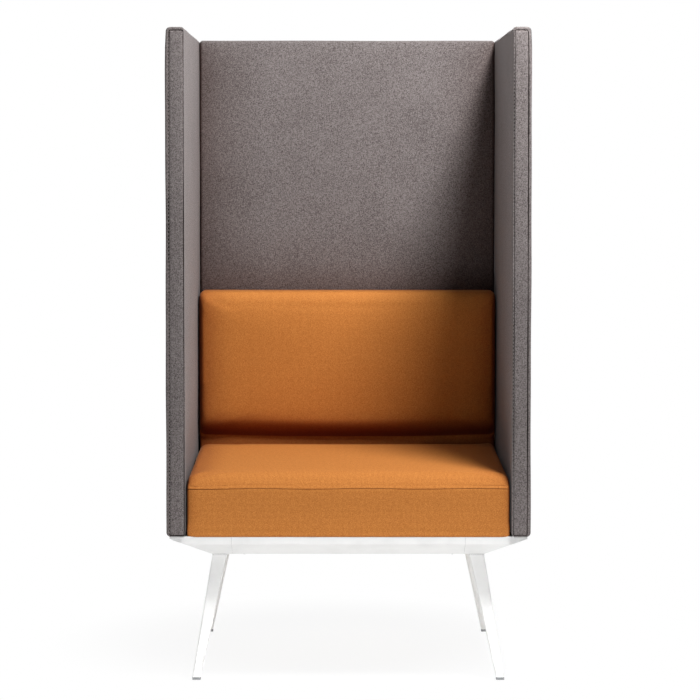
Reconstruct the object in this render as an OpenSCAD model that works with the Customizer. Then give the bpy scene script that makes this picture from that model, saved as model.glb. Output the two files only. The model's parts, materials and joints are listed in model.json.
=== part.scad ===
// Acoustic high back lounge chair: an upholstered seat and back cushion between three
// sound-absorbing panels, on a powder-coated frame with four splayed corner legs.
// Millimetres. +Z is up, the chair faces -Y, and the origin is on the floor under the
// middle of the panels.

/* [Overall] */
// Width over the two side panels
overall_w = 780; // [740:5:900]
// Depth from the side panels' front ends to the back panel's rear face
overall_d = 680; // [650:5:760]
// Height of the panels' tops above the floor
overall_h = 1402; // [1200:2:1600]

/* [Panels] */
// Thickness of a finished panel
panel_t = 40; // [38:1:50]
// Thickness of the board inside a panel
core_t = 16; // [12:1:18]
// Radius of a panel's upholstered edges
panel_edge_r = 5; // [3:0.5:5.5]
// Thickness of the sewn strip that closes a panel's end
strip_t = 8; // [5:0.5:10]
// Distance from a panel's outer face and top to the seam of its end strip
seam_inset = 6; // [5.5:0.5:8]
// Distance from a side panel's inner face to the seam of its end strip
inner_seam_inset = 3; // [2:0.5:8]
// Length of a connector between a side board and the back board
connector_l = 58; // [52:1:66]
// Radius of a connector
connector_r = 4; // [3:0.5:5]

/* [Under-frame] */
// Height of the frame's flat top above the floor
frame_top = 313; // [300:1:330]
// Height of the frame's flat underside
frame_bottom = 267; // [258:1:273]
// Distance of the frame's front behind the panels' front ends
frame_setback = 8; // [4:1:14]
// Distance of the rear edge line of the frame before the back panel's face
rear_setback = 5; // [2:1:12]
// Distance of the side edge lines of the frame outside the side panels' inner faces
side_setout = 1; // [0:0.5:4]
// Height of the upright band along the front
front_band = 17; // [13:0.5:19]
// Reach of the flanges that carry the panels, beyond the edge line
flange_run = 33; // [28:1:36]
// Height of the thin upright edge of a flange
flange_lip = 5.6; // [4:0.2:8]
// Distance that the underside slopes inward from the edge line
slope_run = 56; // [48:1:60]
// Width of the flat underside beyond the slope
flat_w = 34; // [32:0.5:40]
// Wall of a rail's hollow section
rail_wall = 3; // [2.5:0.25:4]
// Length of a corner casting beyond the flat of its root, to the rail's joint
corner_arm = 10; // [6:0.5:16]
// Length of the spigot that enters a rail
spigot_l = 50; // [40:1:60]
// Wall of a corner casting
casting_wall = 4; // [3:0.25:5]
// Thickness of a corner casting's ribs
rib_t = 3; // [2:0.25:4]

/* [Legs] */
// Width of a leg at its root
leg_root_w = 32; // [28:0.5:32]
// Width of a leg at its end
leg_end_w = 17.8; // [17:0.2:22]
// Radius of a leg's long edges
leg_edge_r = 3; // [1.5:0.5:4]
// Distance of a foot's middle inside the frame's side edge lines
foot_inset_x = 23.5; // [12:0.5:50]
// Distance of a foot's middle inside the frame's front and rear edge lines
foot_inset_y = 23.5; // [12:0.5:50]
// Width that the root's flare adds on each side
root_flare = 0.8; // [0.5:0.1:0.9]
// Height of the root's flare
flare_h = 7; // [4:0.5:12]
// Height of a glide under the leg
glide_h = 5.5; // [4:0.5:8]
// Radius of a glide's stem
stem_r = 4; // [3:0.5:4.5]
// Length of a glide's stem
stem_l = 15; // [10:1:18]

/* [Seat] */
// Height of the seat's edge above the frame
seat_h = 132; // [110:1:150]
// Height from the seat's seam up to its edge
seam_drop = 29; // [20:1:34]
// Rise of the seat's top from its front to its rear
seat_rise = 11; // [0:1:16]
// Crown of the seat's top over its middle
seat_crown = 5; // [2:0.5:10]
// Distance of the seat's front behind the panels' front ends
seat_setback = 8; // [4:1:20]
// Space between a side panel and a cushion
side_gap = 2.5; // [2:0.5:8]
// Thickness of the plywood under the seat
seat_board_t = 15; // [15:1:20]
// Distance of the seat's plywood inside the cushion's edge
board_margin = 20; // [16:1:30]

/* [Back cushion] */
// Thickness of the back cushion
back_t = 118; // [100:1:150]
// Height of the back cushion's top above the frame
back_h = 500; // [440:5:560]
// Height above the frame where the swell of the back cushion ends
swell_h = 161; // [155:1:180]
// Height of the rounding under the swell
swell_r = 45; // [30:1:50]
// Distance of the tucked lower part behind the cushion's face
tuck_d = 28; // [20:1:40]
// Height of the rounding along the cushion's top edge
back_top_r = 26; // [15:1:34]
// Crown of the cushion's face
back_crown = 5; // [2:0.5:10]
// Thickness of the plywood behind the cushion
back_board_t = 12; // [12:1:16]

/* [Cross bars] */
// Width of a cross bar
bar_w = 40; // [30:1:44]
// Height of a cross bar
bar_h = 20; // [16:1:25]
// Wall of a cross bar
bar_wall = 2; // [1.5:0.5:3]
// Thickness of a cross bar's end plate
plate_t = 4; // [3:0.5:6]

/* [Brackets] */
// Thickness of a panel bracket
bracket_t = 3; // [2.5:0.25:4]
// Width of a panel bracket
bracket_w = 50; // [40:1:60]
// Length of a bracket's level leg
bracket_reach = 62; // [56:1:66]
// Length of a bracket's upright leg
bracket_rise = 80; // [70:1:100]
// Radius of the bend inside a bracket
bend_r = 3; // [1:0.5:5]

/* [Hidden] */
$fn = 48;

// Clearance between pieces that lie on or beside each other
gap = 0.3;
// Radial clearance of a screw, pin or stem in its hole
fit = 0.1;
// Overrun of every cut through a surface
over = 1;

// Countersunk screws of the brackets
screw_r = 3;
screw_head_r = 5.7;
screw_head_h = 2.7;
screw_l = 14;
// Button-head screws of the rails and the cross bars
button_r = 5.25;
button_h = 3;
button_grip = 12;
// Radius of the bosses round the casting's screws
boss_r = 6.5;
// Bolts and tee nuts that hold the seat
bolt_r = 4;
bolt_head_h = 5.3;
bolt_head_r = 7.5;
tee_barrel_r = 5;
tee_flange_r = 9.5;
tee_flange_t = 1.5;
tee_barrel_l = 11;
// Studs that the back cushion hangs on
stud_r = 4;
stud_head_r = 8;
stud_head_t = 2.5;
key_lip = 4;
key_drop = 22;
// Small radii of boards, end plates, glides and cushions
board_r = 6;
plate_r = 2;
glide_r = 2;
cushion_corner_r = 9;
cushion_base_r = 4;
// Width that the glide leaves free round the leg's end
glide_inset = 0.2;
// How far the drawn-in middle of a cushion's side lies inside its corners
draw_in = 2;
// Seam groove round the seat
groove_h = 2.5;
groove_d = 1.5;
// Rounding of the seat's top edge, measured from its sides and from its front and rear
seat_side_r = 9;
seat_front_r = 24;
// Rounding of the back cushion's upright edges
back_side_r = 10;
// Lean of the tucked lower part
tuck_lean = 4;
// Steps of a cushion's outline and of its rolled edges, and the rings of its crowned face
side_steps = 8;
corner_steps = 3;
roll_steps = 5;
face_shares = [0.85, 0.6, 0.35, 0.15];
// Size of the ball that domes a button head, as a share of the head's radius
dome_share = 1.05;

half_w = overall_w / 2;
half_d = overall_d / 2;
pad_t = (panel_t - core_t) / 2;
panel_in_x = half_w - panel_t;
panel_in_y = half_d - panel_t;
panel_base = frame_top + gap;
core_in_x = panel_in_x + pad_t;
core_in_y = panel_in_y + pad_t;

crease_x = panel_in_x + side_setout;
front_crease_y = frame_setback - half_d;
rear_crease_y = panel_in_y - rear_setback;
frame_mid_y = (front_crease_y + rear_crease_y) / 2;
crease_y = (rear_crease_y - front_crease_y) / 2;
slope_angle = atan((frame_top - front_band - frame_bottom) / slope_run);
wall_x = crease_x - slope_run - flat_w;
wall_y = crease_y - slope_run - flat_w;
joint_x = wall_x - corner_arm;
joint_y = wall_y - corner_arm;
root_margin = (flat_w - leg_root_w) / 2;
root_x = crease_x - slope_run - root_margin - leg_root_w / 2;
root_y = crease_y - slope_run - root_margin - leg_root_w / 2;
foot_x = crease_x - foot_inset_x;
foot_y = crease_y - foot_inset_y;

bracket_y = (wall_y + crease_y) / 2;
bracket_x = (wall_x + crease_x) / 2;
bed_hw = bracket_w / 2 + gap;
bed_z = frame_top - bracket_t - gap;
spigot_inset = rail_wall + gap;
// Places of the rail screws in a corner, from the frame's middle
corner_screw_places = [
  [joint_x - spigot_l / 2, wall_y + flat_w / 2],
  [wall_x + flat_w / 2, joint_y - spigot_l / 2]
];
back_bracket_x_share = 0.64;
back_bracket_x = joint_x * back_bracket_x_share;
screw_near_share = 0.42;
screw_far_share = 0.8;
upright_low_share = 0.4;
upright_high_share = 0.75;

seat_base = frame_top + gap;
seat_top = frame_top + seat_h;
seam_z = seat_top - seam_drop;
cushion_hx = panel_in_x - side_gap;
seat_front_y = seat_setback - half_d;
back_rear_y = panel_in_y - gap;
back_face_y = back_rear_y - back_t;
tuck_y = back_face_y + tuck_d;
seat_rear_y = tuck_y - gap;
seat_hy = (seat_rear_y - seat_front_y) / 2;
seat_cy = (seat_rear_y + seat_front_y) / 2;
seat_board_hx = cushion_hx - board_margin;
seat_board_hy = seat_hy - board_margin;

back_base = frame_top + bracket_t + 2 * gap;
back_top = frame_top + back_h;
swell_z = frame_top + swell_h;
face_low = swell_z + swell_r;
face_high = back_top - back_top_r;
back_board_low = back_base + board_margin;
back_board_high = back_top - back_top_r - board_margin;
back_board_hx = cushion_hx - board_margin;
stud_x_share = 0.6;
stud_x = back_board_hx * stud_x_share;
stud_low_share = 0.25;
stud_high_share = 0.85;
stud_zs = [for (s = [stud_low_share, stud_high_share])
  back_board_low + (back_board_high - back_board_low) * s];

bar_x_share = 0.44;
bar_x = joint_x * bar_x_share;
bolt_y_shares = [-0.45, 0.35];
bolt_ys = [for (s = bolt_y_shares) frame_mid_y + s * wall_y];
plate_w = bar_w * 2;
plate_h = bar_h * 2;
plate_screw_x = (plate_w + bar_w) / 4;
plate_screw_z = frame_top - plate_h / 2;

connector_shares = [0.15, 0.5, 0.85];
connector_zs = [for (s = connector_shares) panel_base + (overall_h - panel_base) * s];
core_end_x = panel_in_x - cushion_base_r;
connector_out = core_t - cushion_base_r;

// Places a piece that is drawn in the rear right quarter into another quarter, about the
// plane at mid_y.
module quarter(sx, sy, mid_y = 0) {
  translate([0, mid_y, 0])
    mirror([sx < 0 ? 1 : 0, 0, 0])
      mirror([0, sy < 0 ? 1 : 0, 0])
        children();
}

// The same about the frame's own middle, which lies before the chair's.
module frame_quarter(sx, sy) {
  quarter(sx, sy, frame_mid_y)
    children();
}

// Box between two corners.
module block(low, high) {
  translate(low)
    cube(high - low);
}

// Rounded rectangle between two corners, in the plane.
module rounded_plate(low, high, r) {
  translate([low.x + r, low.y])
    square([high.x - low.x - 2 * r, high.y - low.y]);
  translate([low.x, low.y + r])
    square([high.x - low.x, high.y - low.y - 2 * r]);
  for (x = [low.x + r, high.x - r], y = [low.y + r, high.y - r])
    translate([x, y])
      circle(r);
}

// Extrudes an outline drawn in Y and Z along X, from x0 to x1.
module along_x(x0, x1) {
  translate([x0, 0, 0])
    rotate([90, 0, 90])
      linear_extrude(x1 - x0)
        children();
}

// Extrudes an outline drawn in X and Z along Y, from y0 to y1.
module along_y(y0, y1) {
  translate([0, y1, 0])
    rotate([90, 0, 0])
      linear_extrude(y1 - y0)
        children();
}

// Extrudes an outline drawn in X and Y along Z, from z0 to z1.
module along_z(z0, z1) {
  translate([0, 0, z0])
    linear_extrude(z1 - z0)
      children();
}

// Outline of a frame member: a flange or an upright band, the sloping underside, the flat and
// the inner wall.
function member_points(crease, flange) = concat(
  flange > 0
    ? [[crease + flange, frame_top], [crease + flange, frame_top - flange_lip]]
    : [[crease, frame_top]],
  [
    [crease, frame_top - front_band],
    [crease - slope_run, frame_bottom],
    [crease - slope_run - flat_w, frame_bottom],
    [crease - slope_run - flat_w, frame_top]
  ]
);

// Hollow of a frame member, a wall inside its outline, up to a level.
function hollow_points(crease, wall, level) =
  let (
    band_x = crease - wall,
    slope_z = frame_top - front_band - wall * tan(slope_angle) + wall / cos(slope_angle),
    inner = crease - slope_run - flat_w + wall
  )
  [
    [band_x, level],
    [band_x, slope_z],
    [crease - slope_run - wall * tan(slope_angle / 2), frame_bottom + wall],
    [inner, frame_bottom + wall],
    [inner, level]
  ];

// Hollow of a closed rail or spigot, with the same wall on top.
function bore_points(crease, wall) = hollow_points(crease, wall, frame_top - wall);

// Countersunk screw along +Z, its head's face at z = 0 and its shank below.
module countersunk_screw(clear = 0) {
  translate([0, 0, -screw_head_h])
    cylinder(r1 = screw_r + clear, r2 = screw_head_r + clear, h = screw_head_h);
  translate([0, 0, -screw_l - clear])
    cylinder(r = screw_r + clear, h = screw_l + clear);
}

// Button-head screw along +Z, its head under z = 0 and its shank above.
module button_screw() {
  translate([0, 0, -button_h])
    intersection() {
      cylinder(r = button_r, h = button_h);
      translate([0, 0, button_r])
        sphere(r = button_r * dome_share);
    }
  cylinder(r = screw_r, h = button_grip);
}

// Places of the screws in a panel bracket, with the bracket's frame: X runs inward from the
// board's face, Z up from the bracket's underside.
module bracket_screw_places() {
  for (s = [screw_near_share, screw_far_share])
    translate([bracket_reach * s, 0, bracket_t])
      children();
  for (s = [upright_low_share, upright_high_share])
    translate([bracket_t, 0, bracket_rise * s])
      rotate([0, 90, 0])
        children();
}

// Bent steel angle: a level leg along X and an upright leg against the board's face.
module bracket_shape() {
  difference() {
    along_y(-bracket_w / 2, bracket_w / 2)
      difference() {
        union() {
          square([bracket_reach, bracket_t]);
          square([bracket_t, bracket_rise]);
          square([bracket_t + bend_r, bracket_t + bend_r]);
        }
        translate([bracket_t + bend_r, bracket_t + bend_r])
          circle(bend_r);
      }
    bracket_screw_places()
      countersunk_screw(fit);
  }
}

// Puts a bracket's frame on the right side board, at the height of its underside.
module side_bracket_bed() {
  translate([core_in_x, bracket_y, frame_top - bracket_t])
    rotate([0, 0, 180])
      children();
}

// Puts a bracket's frame on the right side board, at the front or rear corner.
module side_bracket_place(sy) {
  frame_quarter(1, sy)
    side_bracket_bed()
      children();
}

// Puts a bracket's frame on the back board, left or right.
module back_bracket_place(sx) {
  translate([sx * back_bracket_x, core_in_y, frame_top + gap])
    rotate([0, 0, -90])
      children();
}

// Thin square slice of a leg, with rounded corners.
module leg_slab(x, y, z, w, h) {
  for (i = [-1, 1], j = [-1, 1])
    translate([x + i * (w / 2 - leg_edge_r), y + j * (w / 2 - leg_edge_r), z])
      cylinder(r = leg_edge_r, h = h, $fn = 32);
}

// Leg: a tapered square bar from its root in the casting to its end on the glide, with a
// flare at the root.
module leg_bar() {
  // Place and width of the leg where the flare ends
  flare_share = flare_h / (frame_bottom - glide_h);
  flare_x = root_x + (foot_x - root_x) * flare_share;
  flare_y = root_y + (foot_y - root_y) * flare_share;
  flare_w = leg_root_w + (leg_end_w - leg_root_w) * flare_share;
  hull() {
    leg_slab(root_x, root_y, frame_bottom, leg_root_w, gap);
    leg_slab(foot_x, foot_y, glide_h, leg_end_w, gap);
  }
  hull() {
    leg_slab(root_x, root_y, frame_bottom, leg_root_w + 2 * root_flare, gap);
    leg_slab(flare_x, flare_y, frame_bottom - flare_h, flare_w, gap);
  }
}

// Outside of a corner casting: two mitred members and the spigots that enter the rails.
module casting_body(end_flange) {
  intersection() {
    along_x(wall_x - over, crease_x + flange_run + over)
      polygon(member_points(crease_y, end_flange));
    along_y(wall_y - over, crease_y + end_flange + over)
      polygon(member_points(crease_x, flange_run));
  }
  along_x(joint_x, wall_x + over) polygon(member_points(crease_y, end_flange));
  along_y(joint_y, wall_y + over) polygon(member_points(crease_x, flange_run));
  along_x(joint_x - spigot_l, joint_x + over) polygon(bore_points(crease_y, spigot_inset));
  along_y(joint_y - spigot_l, joint_y + over) polygon(bore_points(crease_x, spigot_inset));
}

// Inside of a corner casting: a pocket that is open to the top, and the spigots' bores.
module casting_hollow() {
  intersection() {
    along_x(wall_x, crease_x) polygon(hollow_points(crease_y, casting_wall, frame_top + over));
    along_y(wall_y, crease_y) polygon(hollow_points(crease_x, casting_wall, frame_top + over));
  }
  along_x(joint_x - spigot_l - over, wall_x + casting_wall + over)
    polygon(bore_points(crease_y, spigot_inset + casting_wall));
  along_y(joint_y - spigot_l - over, wall_y + casting_wall + over)
    polygon(bore_points(crease_x, spigot_inset + casting_wall));
}

// Crossed ribs over the leg's root and under the bracket, with a boss at each screw.
module casting_ribs() {
  half = rib_t / 2;
  for (x = [root_x, bracket_x])
    block([x - half, wall_y, frame_bottom], [x + half, crease_y, bed_z]);
  for (y = [root_y, bracket_y])
    block([wall_x, y - half, frame_bottom], [crease_x, y + half, bed_z]);
  for (place = corner_screw_places)
    translate([place.x, place.y, frame_bottom])
      cylinder(r = boss_r, h = button_grip + casting_wall);
  for (s = [screw_near_share, screw_far_share])
    translate([core_in_x - bracket_reach * s, bracket_y, frame_bottom])
      cylinder(r = boss_r, h = bed_z - frame_bottom);
}

// Corner casting with its leg: a hipped corner that is hollow under the panel bracket, whose
// spigots carry the rails and whose leg ends in a bore for the glide.
module corner_leg(sx, sy) {
  color("#eeedeb")
    frame_quarter(sx, sy)
      difference() {
        union() {
          difference() {
            casting_body(sy > 0 ? flange_run : 0);
            difference() {
              casting_hollow();
              casting_ribs();
            }
          }
          leg_bar();
        }
        block([core_in_x - bracket_reach - gap, bracket_y - bed_hw, bed_z],
          [core_in_x + gap, bracket_y + bed_hw, frame_top + over]);
        side_bracket_bed()
          bracket_screw_places()
            countersunk_screw(fit);
        for (place = corner_screw_places)
          translate([place.x, place.y, frame_bottom])
            cylinder(r = screw_r + fit, h = button_grip + fit);
        translate([foot_x, foot_y, glide_h - over])
          cylinder(r = stem_r + fit, h = stem_l + over + fit);
      }
}

// Screw places on the undersides of the rails.
module rail_screw_places() {
  for (sx = [-1, 1], sy = [-1, 1])
    frame_quarter(sx, sy)
      for (place = corner_screw_places)
        translate([place.x, place.y, frame_bottom])
          children();
}

// Screw places on the end plates of the cross bars.
module crossbar_screw_places() {
  for (sy = [-1, 1], sx = [-1, 1], i = [-1, 1])
    frame_quarter(1, sy)
      translate([sx * bar_x + i * plate_screw_x, wall_y - plate_t, plate_screw_z])
        rotate([-90, 0, 0])
          children();
}

// Front or rear rail: a hollow profile between two castings.
module long_rail(sy) {
  color("#eeedeb")
    difference() {
      frame_quarter(1, sy)
        difference() {
          along_x(gap - joint_x, joint_x - gap) polygon(member_points(crease_y, sy > 0 ? flange_run : 0));
          along_x(-joint_x, joint_x) polygon(bore_points(crease_y, rail_wall));
        }
      rail_screw_places()
        translate([0, 0, -over])
          cylinder(r = screw_r + fit, h = rail_wall + 2 * over);
      crossbar_screw_places()
        cylinder(r = screw_r + fit, h = plate_t + rail_wall + over);
      for (sx = [-1, 1])
        back_bracket_place(sx)
          bracket_screw_places()
            translate([0, 0, -bracket_t])
              cylinder(r = screw_r + fit, h = 2 * (rail_wall + over), center = true);
    }
}

// Side rail: a hollow profile whose flange carries a side panel.
module side_rail(sx) {
  color("#eeedeb")
    difference() {
      frame_quarter(sx, 1)
        difference() {
          along_y(gap - joint_y, joint_y - gap) polygon(member_points(crease_x, flange_run));
          along_y(-joint_y, joint_y) polygon(bore_points(crease_x, rail_wall));
        }
      rail_screw_places()
        translate([0, 0, -over])
          cylinder(r = screw_r + fit, h = rail_wall + 2 * over);
    }
}

module rail_screws() {
  color("#b9bcc0")
    rail_screw_places()
      button_screw();
}

// Plastic glide: a square pad with a stem pressed into the leg's end.
module glide(sx, sy) {
  half = leg_end_w / 2 - glide_inset;
  color("#8d8f92")
    frame_quarter(sx, sy) {
      along_z(0, glide_h)
        rounded_plate([foot_x - half, foot_y - half], [foot_x + half, foot_y + half], glide_r);
      translate([foot_x, foot_y, glide_h])
        cylinder(r = stem_r, h = stem_l);
    }
}

// Steel cross bar: a rectangular tube with an end plate at each rail.
module crossbar(sx) {
  x = sx * bar_x;
  front_y = frame_mid_y - wall_y;
  rear_y = frame_mid_y + wall_y;
  color("#3a3b3d")
    difference() {
      union() {
        block([x - bar_w / 2, front_y + plate_t / 2, frame_top - bar_h],
          [x + bar_w / 2, rear_y - plate_t / 2, frame_top]);
        for (sy = [-1, 1])
          frame_quarter(1, sy)
            along_y(wall_y - plate_t, wall_y)
              rounded_plate([x - plate_w / 2, frame_top - plate_h],
                [x + plate_w / 2, frame_top], plate_r);
      }
      block([x - bar_w / 2 + bar_wall, front_y + plate_t, frame_top - bar_h + bar_wall],
        [x + bar_w / 2 - bar_wall, rear_y - plate_t, frame_top - bar_wall]);
      crossbar_screw_places()
        translate([0, 0, -over])
          cylinder(r = screw_r + fit, h = plate_t + 2 * over);
      for (y = bolt_ys)
        translate([x, y, frame_top - bar_h - over])
          cylinder(r = bolt_r + gap, h = bar_h + 2 * over);
    }
}

module crossbar_screws() {
  color("#b9bcc0")
    crossbar_screw_places()
      button_screw();
}

// Plywood under the seat, with counterbored holes for the tee nuts.
module seat_board() {
  color("#d9bd8b")
    difference() {
      along_z(seat_base, seat_base + seat_board_t)
        translate([0, seat_cy])
          rounded_plate([-seat_board_hx, -seat_board_hy], [seat_board_hx, seat_board_hy], board_r);
      for (sx = [-1, 1], y = bolt_ys)
        translate([sx * bar_x, y, seat_base]) {
          translate([0, 0, -over])
            cylinder(r = tee_barrel_r + fit, h = seat_board_t + 2 * over);
          translate([0, 0, seat_board_t - tee_flange_t - fit])
            cylinder(r = tee_flange_r + fit, h = tee_flange_t + over);
        }
    }
}

// Hexagon bolts that go up through the cross bars.
module seat_bolts() {
  color("#b9bcc0")
    for (sx = [-1, 1], y = bolt_ys)
      translate([sx * bar_x, y, frame_top - bar_h]) {
        translate([0, 0, -bolt_head_h])
          cylinder(r = bolt_head_r, h = bolt_head_h, $fn = 6);
        cylinder(r = bolt_r, h = bar_h + gap + seat_board_t - tee_flange_t);
      }
}

// Flanged nuts let into the top of the seat's plywood.
module seat_tee_nuts() {
  color("#c9b56a")
    for (sx = [-1, 1], y = bolt_ys)
      translate([sx * bar_x, y, seat_base + seat_board_t])
        difference() {
          union() {
            translate([0, 0, -tee_flange_t])
              cylinder(r = tee_flange_r, h = tee_flange_t);
            translate([0, 0, -tee_barrel_l])
              cylinder(r = tee_barrel_r, h = tee_barrel_l);
          }
          translate([0, 0, -tee_barrel_l - over])
            cylinder(r = bolt_r + fit, h = tee_barrel_l + 2 * over);
        }
}

// Points round a rounded rectangle. Each side has the same count and is drawn in towards its
// middle, and each corner is an arc.
function outline(hx, hy, r, draw = 0) = [
  for (side = [0 : 3])
    let (
      out = side % 2 == 0 ? hx : hy,
      reach = (side % 2 == 0 ? hy : hx) - r,
      c = cos(90 * side),
      s = sin(90 * side),
      straight = [for (k = [0 : side_steps])
        let (t = k / side_steps)
        [out - draw * sin(180 * t), reach * (2 * t - 1)]],
      arc = [for (k = [1 : corner_steps - 1])
        let (a = 90 * k / corner_steps)
        [out - r + r * cos(a), reach + r * sin(a)]]
    )
    for (p = concat(straight, arc))
      [p.x * c - p.y * s, p.x * s + p.y * c]
];

// Middle of a ring of points.
function ring_middle(ring) = [for (p = ring) 1] * ring / len(ring);

// Closed solid through rings of points that all have the same count.
module ring_stack(rings) {
  n = len(rings[0]);
  last = len(rings) - 1;
  points = concat([for (ring = rings) each ring], [ring_middle(rings[0]), ring_middle(rings[last])]);
  walls = [for (k = [0 : last - 1], i = [0 : n - 1])
    let (a = k * n + i, b = k * n + (i + 1) % n)
    each [[a, a + n, b + n], [a, b + n, b]]];
  ends = [for (i = [0 : n - 1])
    let (j = (i + 1) % n)
    each [[(last + 1) * n, i, j], [(last + 1) * n + 1, last * n + j, last * n + i]]];
  polyhedron(points = points, faces = concat(walls, ends));
}

// Height that the seat's top gains at a point: a rise to the rear and a crown.
function seat_lift(x, y) =
  let (t = (y / seat_hy + 1) / 2)
  seat_rise * t * t * (3 - 2 * t) + seat_crown * (1 - pow(x / cushion_hx, 4)) * (1 - pow(y / seat_hy, 4));

// Ring of points round the seat, drawn inward and lifted by a share of the seat's own lift.
function seat_ring(inset_x, inset_y, z, lift_share = 0, draw = 0) = [
  for (p = outline(cushion_hx - inset_x, seat_hy - inset_y, cushion_corner_r, draw))
    [p.x, p.y + seat_cy, z + lift_share * seat_lift(p.x, p.y)]
];

// Ring of points on the seat's crowned top, at a share of the way out from its middle.
function seat_top_ring(share) = [
  for (p = outline(cushion_hx - seat_side_r, seat_hy - seat_front_r, cushion_corner_r))
    let (x = p.x * share, y = p.y * share)
    [x, y + seat_cy, seat_top + seat_lift(x, y)]
];

// Seat cushion: foam and cover on the plywood, with a crowned top that rolls over its edges
// down to a seam, and sides drawn in between their corners.
module seat_cushion() {
  roll = seat_top - seam_z - groove_h;
  board_ring = [for (p = outline(seat_board_hx + gap, seat_board_hy + gap, board_r))
    [p.x, p.y + seat_cy, seat_base]];
  color("#c0763b")
    ring_stack(concat(
      [[for (p = board_ring) p + [0, 0, seat_board_t + gap]]],
      [board_ring],
      [seat_ring(cushion_base_r, cushion_base_r, seat_base)],
      [seat_ring(0, 0, seat_base + cushion_base_r)],
      [seat_ring(0, 0, (seat_base + seam_z) / 2, 0, draw_in)],
      [seat_ring(0, 0, seam_z - groove_h)],
      [seat_ring(groove_d, groove_d, seam_z)],
      [for (a = [0 : 90 / roll_steps : 90])
        let (back = 1 - cos(a))
        seat_ring(seat_side_r * back, seat_front_r * back, seam_z + groove_h + roll * sin(a), sin(a))],
      [for (share = face_shares) seat_top_ring(share)]
    ));
}

// Plywood behind the back cushion, with keyholes for the hanger studs.
module back_board() {
  color("#d9bd8b")
    difference() {
      along_y(back_rear_y - back_board_t, back_rear_y)
        rounded_plate([-back_board_hx, back_board_low], [back_board_hx, back_board_high], board_r);
      for (sx = [-1, 1], z = stud_zs)
        translate([sx * stud_x, back_rear_y, z])
          rotate([90, 0, 0])
            keyhole();
    }
}

// Keyhole cut, from the board's rear face at z = 0 inward: a slot behind a lip, and the hole
// that lets the stud's head in at its lower end.
module keyhole() {
  pocket_t = key_lip + stud_head_t + 2 * gap;
  translate([0, 0, -over]) {
    cylinder(r = stud_r + gap, h = key_lip + 2 * over);
    translate([-stud_r - gap, -key_drop, 0])
      cube([2 * (stud_r + gap), key_drop, key_lip + 2 * over]);
  }
  translate([0, 0, key_lip]) {
    cylinder(r = stud_head_r + gap, h = stud_head_t + 2 * gap);
    translate([-stud_head_r - gap, -key_drop, 0])
      cube([2 * (stud_head_r + gap), key_drop, stud_head_t + 2 * gap]);
  }
  translate([0, -key_drop, -over])
    cylinder(r = stud_head_r + gap, h = pocket_t + over);
}

// Shoulder studs screwed into the back panel's board.
module back_hanger_studs() {
  stud_root_y = core_in_y + core_t - cushion_base_r;
  shank_l = stud_root_y - back_rear_y + key_lip + gap;
  color("#b9bcc0")
    for (sx = [-1, 1], z = stud_zs)
      translate([sx * stud_x, stud_root_y, z])
        rotate([90, 0, 0]) {
          cylinder(r = stud_r, h = shank_l);
          translate([0, 0, shank_l])
            cylinder(r = stud_head_r, h = stud_head_t);
        }
}

// Ring of points round the back cushion, upright at one depth.
function back_ring(y, inset_x, low, high, draw = 0) = [
  for (p = outline(cushion_hx - inset_x, (high - low) / 2, cushion_corner_r, draw))
    [p.x, y, (low + high) / 2 + p.y]
];

// Ring of points on the back cushion's crowned face.
function back_face_ring(share) = [
  for (p = outline(cushion_hx - back_side_r, (face_high - face_low) / 2, cushion_corner_r))
    [p.x * share, back_face_y - back_crown * (1 - share * share),
      (face_high + face_low) / 2 + p.y * share]
];

// Back cushion: a swelling face with rolled edges, and a lower part tucked behind the seat.
module back_cushion() {
  base_r = cushion_base_r;
  board_hz = (back_board_high - back_board_low) / 2;
  board_ring = [for (p = outline(back_board_hx + gap, board_hz + gap, board_r))
    [p.x, back_rear_y, back_board_low + board_hz + p.y]];
  color("#bb7339")
    ring_stack(concat(
      [[for (p = board_ring) p - [0, back_board_t + gap, 0]]],
      [board_ring],
      [back_ring(back_rear_y, base_r, back_base + base_r, back_top - base_r)],
      [back_ring(back_rear_y - base_r, 0, back_base, back_top)],
      [back_ring((back_rear_y + tuck_y) / 2, 0, back_base, back_top, draw_in)],
      [back_ring(tuck_y + tuck_lean, 0, back_base, back_top)],
      [for (a = [0 : 90 / roll_steps : 90])
        let (back = 1 - cos(a))
        back_ring(back_face_y + tuck_d * (1 - sin(a)), back_side_r * back,
          swell_z + swell_r * back, back_top - back_top_r * back)],
      [for (share = face_shares) back_face_ring(share)]
    ));
}

// Slab with all its edges rounded.
module padded_slab(low, high, r) {
  intersection() {
    along_x(low.x, high.x) rounded_plate([low.y, low.z], [high.y, high.z], r);
    along_y(low.y, high.y) rounded_plate([low.x, low.z], [high.x, high.z], r);
    along_z(low.z, high.z) rounded_plate([low.x, low.y], [high.x, high.y], r);
  }
}

// Bores for the connectors between the boards, on both sides.
module connector_places() {
  for (sx = [-1, 1], z = connector_zs)
    quarter(sx, 1)
      translate([core_in_x + connector_out, core_in_y + core_t / 2, z])
        rotate([0, -90, 0])
          children();
}

// Board inside a side panel.
module side_core(sx) {
  end_y = half_d - strip_t - gap;
  color("#a98f6c")
    difference() {
      quarter(sx, 1)
        block([core_in_x, -end_y, panel_base], [core_in_x + core_t, end_y, overall_h - pad_t - gap]);
      connector_places()
        translate([0, 0, -fit])
          cylinder(r = connector_r + fit, h = connector_l);
      for (sy = [-1, 1])
        quarter(sx, 1)
          side_bracket_place(sy)
            bracket_screw_places()
              countersunk_screw(fit);
    }
}

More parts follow.
